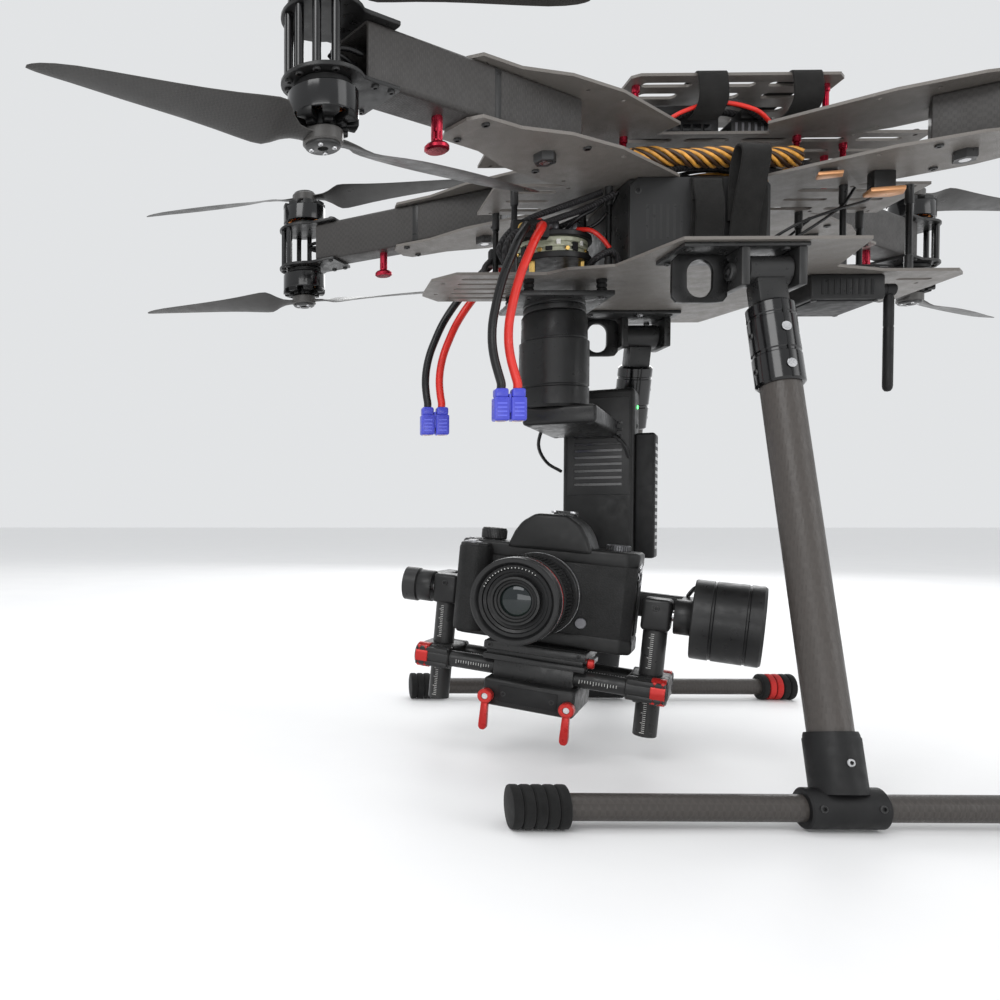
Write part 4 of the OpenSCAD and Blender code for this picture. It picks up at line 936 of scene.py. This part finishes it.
p.lathe([(4.1, 0), (28.2, 0), (29, 0.8), (29, 12), (28.3, 12.7), (28.3, 13.8), (29, 14.5), (29, 34), (28.4, 34.6), (28.4, 35.6), (29, 36.2), (29, 44), (27.6, 45.8), (24, 46), (23.4, 45.2), (22.4, 45.2), (21.8, 46), (13, 46), (12.4, 45), (11.4, 45), (11, 46), (0, 46), (0, 10), (4.1, 10), (4.1, 0)], (104, 0, 120), "X", BLACK_SATIN, 80)
for i in range(6):
    a = math.radians(60 * i + 15)
    p.screw((149.6, 17.5 * math.cos(a), 120 + 17.5 * math.sin(a)), "X", 1.9, 0.4, GREY_METAL)
p.screw((149.4, 0, 120), "X", 3.4, 0.6, GREY_METAL)
p.lathe([(0, 0), (12, 0), (14, 1.6), (14, 12.5), (0, 12.5)], (-103.5, 0, 120), "-X", BLACK_SATIN, 48)
p.screw((-115.4, 0, 120), "-X", 3.6, 0.6, GREY_METAL)
p.done("roll_arm_look", "gimbal_roll", "gimbal_metal", ["roll_arm"])
wire("roll_cable", [[(96, 66, 131), (99, 50, 136), (103, 30, 141), (110, 16, 145)]], 1.6, LEAD_BLACK, "gimbal_roll", M=MC)

# cradle
p = Part(MC)
for s0 in (-1, 1):
    x = s0 * 80
    p.lathe([(5.6, 28), (8.0, 28), (8.5, 28.6), (8.5, 110), (0, 110), (0, 36), (5.6, 36), (5.6, 28)], (x, 0, 0), "Z", BLACK_SATIN, 40)
    # engraved scale
    for i in range(17):
        z = 31 + i * 1.5
        p.box((x - (3.2 if i % 5 == 0 else 2), -8.62, z), (x + 0.2, -8.2, z + 0.28), WHITE_MARK, 0, 1)
    for i in range(18):
        z = 80 + i * 1.5
        p.box((x - (3.2 if i % 5 == 0 else 2), -8.62, z), (x + 0.2, -8.2, z + 0.28), WHITE_MARK, 0, 1)
    p.box((x - 10, -11, 108), (x + 10, 11, 132), BLACK_SATIN, 3, 3)
    p.screw((x, -11, 125), "-Y", 2.2, 0.9)
    p.cyl((90 if s0 > 0 else -104, 0, 120), "X", 4, 14, STEEL, 0.5, 28)
    # clamps: dark block on the rod, red split collars at both rods
    x0 = 66 if s0 > 0 else -94
    p.box((x0, -17, 57), (x0 + 28, 17, 75), BLACK_SATIN, 2.4, 3)
    for y in (-22, 22):
        p.pipe((x0, y, 66), "X", 9.0, 6.52, 28, BLACK_SATIN, 0.8, 40)
        xo = x0 + 17 if s0 > 0 else x0 + 1
        p.pipe((xo, y, 66), "X", 9.9, 8.8, 10, RED_CLAMP, 0.4, 40)
        y0, y1 = (-31, -20) if y < 0 else (20, 31)
        p.box((x0 + 1, y0, 58.5), (x0 + 27, y1, 62.5), BLACK_SATIN, 1.0, 2)
        p.box((x0 + 1, y0, 69.5), (x0 + 27, y1, 73.5), BLACK_SATIN, 1.0, 2)
        p.box((xo + 1, y0, 57.8), (xo + 4, y1, 74.2), RED_CLAMP, 1.0, 2)
        p.box((xo + 6.5, y0, 57.8), (xo + 9.5, y1, 74.2), RED_CLAMP, 1.0, 2)
        p.cyl((xo - 0.5, (y0 + y1) / 2 - (2 if y < 0 else -2), 66), "X", 2.0, 11, STEEL, 0.3, 18)
        p.screw((x0 + 8, y * 1.25, 58.5), "-Z", 2.3, 1.2)
        p.screw((x0 + 20, y * 1.25, 58.5), "-Z", 2.3, 1.2)
for y in (-22, 22):
    p.cyl((-84, y, 66), "X", 6.5, 168, BLACK_SATIN, 0.8, 36)
    for i in range(14):
        p.box((-60 + i * 2, y * 1 - 6.62 if y < 0 else y - 6.62, 65.4 - (1.6 if i % 5 == 0 else 0.7)), (-59.7 + i * 2, y - 6.3, 66.8), WHITE_MARK, 0, 1)
    for i in range(14):
        p.box((34 + i * 2, y - 6.62, 65.4 - (1.6 if i % 5 == 0 else 0.7)), (34.3 + i * 2, y - 6.3, 66.8), WHITE_MARK, 0, 1)
p.box((-38, -34, 72.5), (38, 32, 77), BLACK_METAL, 1.2, 2)
p.box((-36, -31, 76.5), (36, 29, 81), BLACK_SATIN, 0.8, 2)
p.box((-38, -34, 80.6), (38, 32, 87), BLACK_METAL, 1.4, 2)
for x in (-33, 33):
    p.screw((x, -34, 83.8), "-Y", 1.9, 0.9)
p.cyl((38, -24, 79), "X", 3.6, 5, RED_CLAMP, 0.8, 24)
p.box((-36, -32, 86.6), (36, 30, 88.0), RUBBER, 0.3, 1)
p.box((-34, -40, 38), (34, 32, 59.5), BLACK_SATIN, 3.0, 3)
p.box((-30, -30, 58), (30, 28, 73.5), BLACK_METAL, 1.5, 2)
p.box((-22, -40.6, 42), (22, -39.6, 55), BLACK_PLASTIC, 0.4, 2)
for x in (-18, 18):
    p.screw((x, -40, 48.5), "-Y", 2.0, 0.9)
for s0 in (-1, 1):
    p.cyl((s0 * 30, -38, 46), "-Y", 2.5, 10, STEEL, 0.3, 20)
for x, y in ((-26, -28), (26, -28), (-26, 22), (26, 22)):
    p.screw((x, y, 38), "-Z", 2.4, 1.0)
p.done("cradle_look", "gimbal_pitch", "gimbal_metal", ["cradle"])
for s0, nm in ((-1, "left"), (1, "right")):
    p = Part(MC @ Matrix.Translation((s0 * 30, 0, 46)))
    p.pipe((0, -41, 0), "-Y", 5.5, 2.56, 8, RED_CLAMP, 0.8, 32)
    p.prism([(-2.4, -3.5), (2.4, -3.5), (3.0, -20), (3.0, -24), (1.6, -26), (-1.6, -26), (-3.0, -24), (-3.0, -20)], 0, 6.2, RED_CLAMP, 0.9, 2, Matrix.Translation((0, -42, 0)) @ Matrix.Rotation(math.pi / 2, 4, "X"))
    p.done("cradle_lever_" + nm + "_look", "lever_" + nm, "red_metal", ["cradle_lever_" + nm])

# camera body
p = Part(MK)
p.prism([(-60, -22), (58, -22), (66, -15), (66, 18), (61, 24), (-60, 24), (-66, 18), (-66, -18)], 78, 90, CAM_PLASTIC, 2.2, 3)
p.prism([(-60, -21.2), (58, -21.2), (65.2, -14.6), (65.2, 17.6), (60.6, 23.4), (-60, 23.4), (-65.2, 17.6), (-65.2, -17.6)], 88, 144, LEATHER, 0.8, 2)
p.prism([(-60, -22), (58, -22), (66, -15), (66, 18), (61, 24), (-60, 24), (-66, 18), (-66, -18)], 142, 154, CAM_PLASTIC, 2.6, 3)
p.prism([(-64, -34), (-58, -40), (-47, -40), (-41, -34), (-40, -20), (-66, -20)], 82, 150, LEATHER, 3.2, 4)
p.prism([(-63.4, -33), (-57.6, -38.4), (-47.4, -38.4), (-41.6, -33), (-41, -18), (-65.6, -18)], 146, 151.5, CAM_PLASTIC, 2.0, 3)
M = Matrix.Translation((0, 20, 0)) @ Matrix.Rotation(math.pi / 2, 4, "X")
p.prism([(-30, 150), (34, 150), (29, 163), (24, 171), (13, 178), (-10, 178), (-20, 171), (-25, 163)], 0, 44, CAM_PLASTIC, 3.0, 3, M)
p.box((-14, 19, 156), (18, 24.0, 175), CAM_PLASTIC, 2.0, 3)
p.box((-11, 23.4, 158.5), (15, 24.2 - 0.2, 172.5), BLACK_GLOSS, 0.4, 2)
p.box((-4, 14, 176.5), (10, 33.5 - 10, 179.2), BLACK_METAL, 0.5, 2)
p.box((-6, 14, 179), (-2.4, 30, 181), STEEL, 0.4, 2)
p.box((8.4, 14, 179), (12, 30, 181), STEEL, 0.4, 2)
p.box((-6, 29, 176.5), (12, 34, 181), BLACK_METAL, 0.6, 2)
# rear screen and controls
p.box((-34, 23.6, 88), (42, 24.0 + 0.0, 146), BLACK_GLOSS, 0.15, 1)
p.cyl((-52, 22.6, 112), "Y", 9, 1.4, BLACK_METAL, 0.4, 36)
p.cyl((-50, 23.0, 138), "Y", 2.6, 1.0, BLACK_PLASTIC, 0.3, 18)
p.cyl((-58, 23.0, 134), "Y", 2.2, 1.0, BLACK_PLASTIC, 0.3, 18)
# right-hand dial and custom buttons on the top
p.lathe([(0, 0), (8.5, 0), (8.5, 4.2), (8.0, 4.8), (0, 4.8)], (48, 6, 153.5), "Z", GREY_METAL, 40)
for i in range(30):
    R = Matrix.Translation((48, 6, 0)) @ Matrix.Rotation(math.radians(i * 12), 4, "Z")
    p.box((8.1, -0.35, 154), (8.8, 0.35, 157.8), BLACK_METAL, 0.1, 1, R)
p.cyl((-60, -14, 153.4), "Z", 2.2, 1.2, GREY_METAL, 0.3, 20)
p.cyl((-54, -14, 153.4), "Z", 2.2, 1.2, GREY_METAL, 0.3, 20)
p.lathe([(4.57, 0), (7.2, 0), (7.2, 0.8), (6.2, 1.3), (4.57, 1.3), (4.57, 0)], (-54, -30, 151.2), "Z", GREY_METAL, 40)
# strap lugs, grip line, lens release, sockets door
for x, ax in ((-65.4, "-X"), (65.4, "X")):
    p.pipe((x, -4, 143), ax, 3.8, 2.0, 1.2, STEEL, 0.3, 24)
for x in (-68, 68):
    s1 = 1 if x > 0 else -1
    p.sweep([(s1 * 65.6, -4, 143), (s1 * 66.0, -9, 139), (s1 * 66.2, -10, 133), (s1 * 66.2, -4, 129.5), (s1 * 66.2, 2, 133), (s1 * 66.0, 1, 139), (s1 * 65.6, -4, 143)], 0.75, STEEL, 8)
p.cyl((30, -21.6, 98), "-Y", 4.2, 1.6, GREY_METAL, 0.5, 28)
p.cyl((-34, -21.4, 136), "-Y", 2.4, 0.9, GLASS, 0.2, 20)
p.box((65.2, -8, 92), (66.3 - 0.3, 12, 138), RUBBER, 0.35, 1)
# lens: mount, barrel, zoom knurl, accent rings, hood ring
def rib_ring(part, c, r0, r1, y0, y1, n, mat, w=0.5):
    for i in range(n):
        R = Matrix.Translation(c) @ Matrix.Rotation(2 * math.pi * i / n, 4, "Y")
        part.box((r0, y1, -w), (r1, y0, w), mat, 0.12, 1, R)
L = (-4, 0, 116)
p.lathe([(0, 20), (31.2, 20), (32, 21), (32, 33), (31.2, 34), (0, 34)], L, "-Y", BLACK_SATIN, 96)
p.lathe([(0, 24.2), (32.15, 24.2), (32.15, 25.2), (0, 25.2)], L, "-Y", STEEL, 96)
p.lathe([(0, 33), (27, 33), (27, 47.2), (26.9, 47.4), (26.9, 76.6), (27, 76.8), (27, 81), (0, 81)], L, "-Y", BLACK_SATIN, 96)
p.lathe([(27, 34.5), (29.3, 35.4), (29.3, 46.0), (28.8, 46.8), (27, 46.8), (27, 34.5)], L, "-Y", BLACK_PLASTIC, 96)
rib_ring(p, L, 29.0, 29.9, -36.4, -45.2, 56, BLACK_PLASTIC, 0.55)
p.lathe([(0, 80), (29.6, 80), (30.4, 80.8), (30.4, 84.2), (31, 85.0), (31, 94), (30.6, 97.2), (29.6, 98), (27.4, 98), (26.4, 97.0), (25.2, 94.5), (23.0, 94.0), (22.4, 92.6), (20.4, 91.8), (20.0, 90.4), (17, 89.8), (17, 88), (0, 88)], L, "-Y", BLACK_SATIN, 96)
p.lathe([(30.3, 82.0), (30.75, 82.1), (30.75, 83.2), (30.3, 83.3), (30.3, 82.0)], L, "-Y", RED_CLAMP, 96)
p.lathe([(30.9, 86.0), (31.25 - 0.2, 86.1), (31.25 - 0.2, 86.9), (30.9, 87.0), (30.9, 86.0)], L, "-Y", STEEL, 96)
p.lathe([(11.2, 88.0), (16.95, 88.0), (16.95, 93.6), (15.4, 93.9), (14.6, 92.4), (13.2, 92.0), (12.6, 90.8), (11.2, 90.6), (11.2, 88.0)], L, "-Y", CAM_PLASTIC, 72)
p.lathe([(0, 88.0), (11.3, 88.0), (11.3, 88.6), (9, 89.7), (5, 90.5), (0, 90.8)], L, "-Y", GLASS, 64)
for i in range(18):
    R = Matrix.Translation(L) @ Matrix.Rotation(math.radians(200 + i * 6), 4, "Y")
    p.box((22.9, -94.2, -0.2), (24.2, -93.9, 0.2), WHITE_MARK, 0, 1, R)
p.done("camera_body_look", "gimbal_pitch", "camera_shell", ["camera_body"])
p = Part(MK)
p.lathe([(27.06, 48), (30.2, 48), (30.9, 48.6), (30.9, 51), (30.4, 51.6), (30.4, 72.4), (30.9, 73), (30.9, 75.4), (30.2, 76), (27.06, 76), (27.06, 48)], L, "-Y", BLACK_PLASTIC, 96)
rib_ring(p, L, 30.2, 31.5, -52.4, -71.6, 72, RUBBER, 0.62)
p.done("focus_ring_look", "focus_ring", "grip_rubber", ["focus_ring"])
p = Part(MK)
p.lathe([(0, 154.4), (9.4, 154.4), (9.6, 155), (9.6, 162), (9.0, 163.4), (7.6, 163.4), (7.4, 163.1), (0, 163.1)], (-46, 0, 0), "Z", BLACK_METAL, 64)
for i in range(44):
    R = Matrix.Translation((-46, 0, 0)) @ Matrix.Rotation(2 * math.pi * i / 44, 4, "Z")
    p.box((9.4, -0.38, 155.2), (10, 0.38, 161.8), BLACK_METAL, 0.1, 1, R)
    if i % 4 == 0:
        p.box((6.2, -0.22, 163.0), (8.0, 0.22, 163.4), WHITE_MARK, 0, 1, R)
p.cyl((-46, 0, 148.5), "Z", 2, 7, STEEL, 0.3, 20)
p.done("mode_dial_look", "mode_dial", "camera_shell", ["mode_dial"])
p = Part(MK)
p.lathe([(0, 148), (4.5, 148), (4.5, 152.7), (4.0, 153.4), (3, 153.5), (1.6, 153.1), (0, 153.0)], (-54, -30, 0), "Z", STEEL, 40)
p.done("shutter_button_look", "shutter_button", "camera_shell", ["shutter_button"])

# ------------------------------------------------------------------ floor and lights
bpy.ops.mesh.primitive_plane_add(size=70, location=(0, 0, 0))
floor = bpy.context.object
floor.name = "floor"
fm, nt, b, tc = nodes_of("floor_paper")
nt.links.new(mixc(nt, ramp(nt, noise(nt, tc, 6), 0.3, 0.7), (0.83, 0.83, 0.835), (0.86, 0.86, 0.86)), b.inputs["Base Color"])
nt.links.new(ramp(nt, noise(nt, tc, 3), 0.3, 0.7, 0.55, 0.65), b.inputs["Roughness"])
floor.data.materials.append(fm)

def area(name, loc, tgt, size, power, col=(1, 1, 1)):
    l = bpy.data.lights.new(name, "AREA")
    l.shape = "RECTANGLE"
    l.size, l.size_y = size
    l.energy = power
    l.color = col
    o = bpy.data.objects.new(name, l)
    o.location = loc
    o.rotation_euler = (Vector(tgt) - Vector(loc)).to_track_quat("-Z", "Y").to_euler()
    bpy.context.scene.collection.objects.link(o)
area("key", (-1.6, -2.2, 2.4), (0, 0, 0.3), (1.8, 1.8), 44)
area("fill", (2.4, -1.8, 1.2), (0, 0, 0.3), (1.6, 1.6), 16)
area("top", (0.2, 0.4, 2.8), (0, 0, 0.3), (2.6, 2.0), 22)
area("low_front", (-0.6, -2.2, 0.3), (0, 0, 0.25), (2.0, 0.5), 9)
area("back", (0.8, 2.4, 1.4), (0, 0, 0.35), (2.0, 1.2), 18)
w = bpy.data.worlds.new("studio")
bpy.context.scene.world = w
w.use_nodes = True
w.node_tree.nodes["Background"].inputs[0].default_value = (0.93, 0.945, 0.96, 1)
w.node_tree.nodes["Background"].inputs[1].default_value = 0.82
bpy.context.scene.view_settings.view_transform = "Standard"

# ------------------------------------------------------------------ update the view layer
bpy.context.view_layer.update()
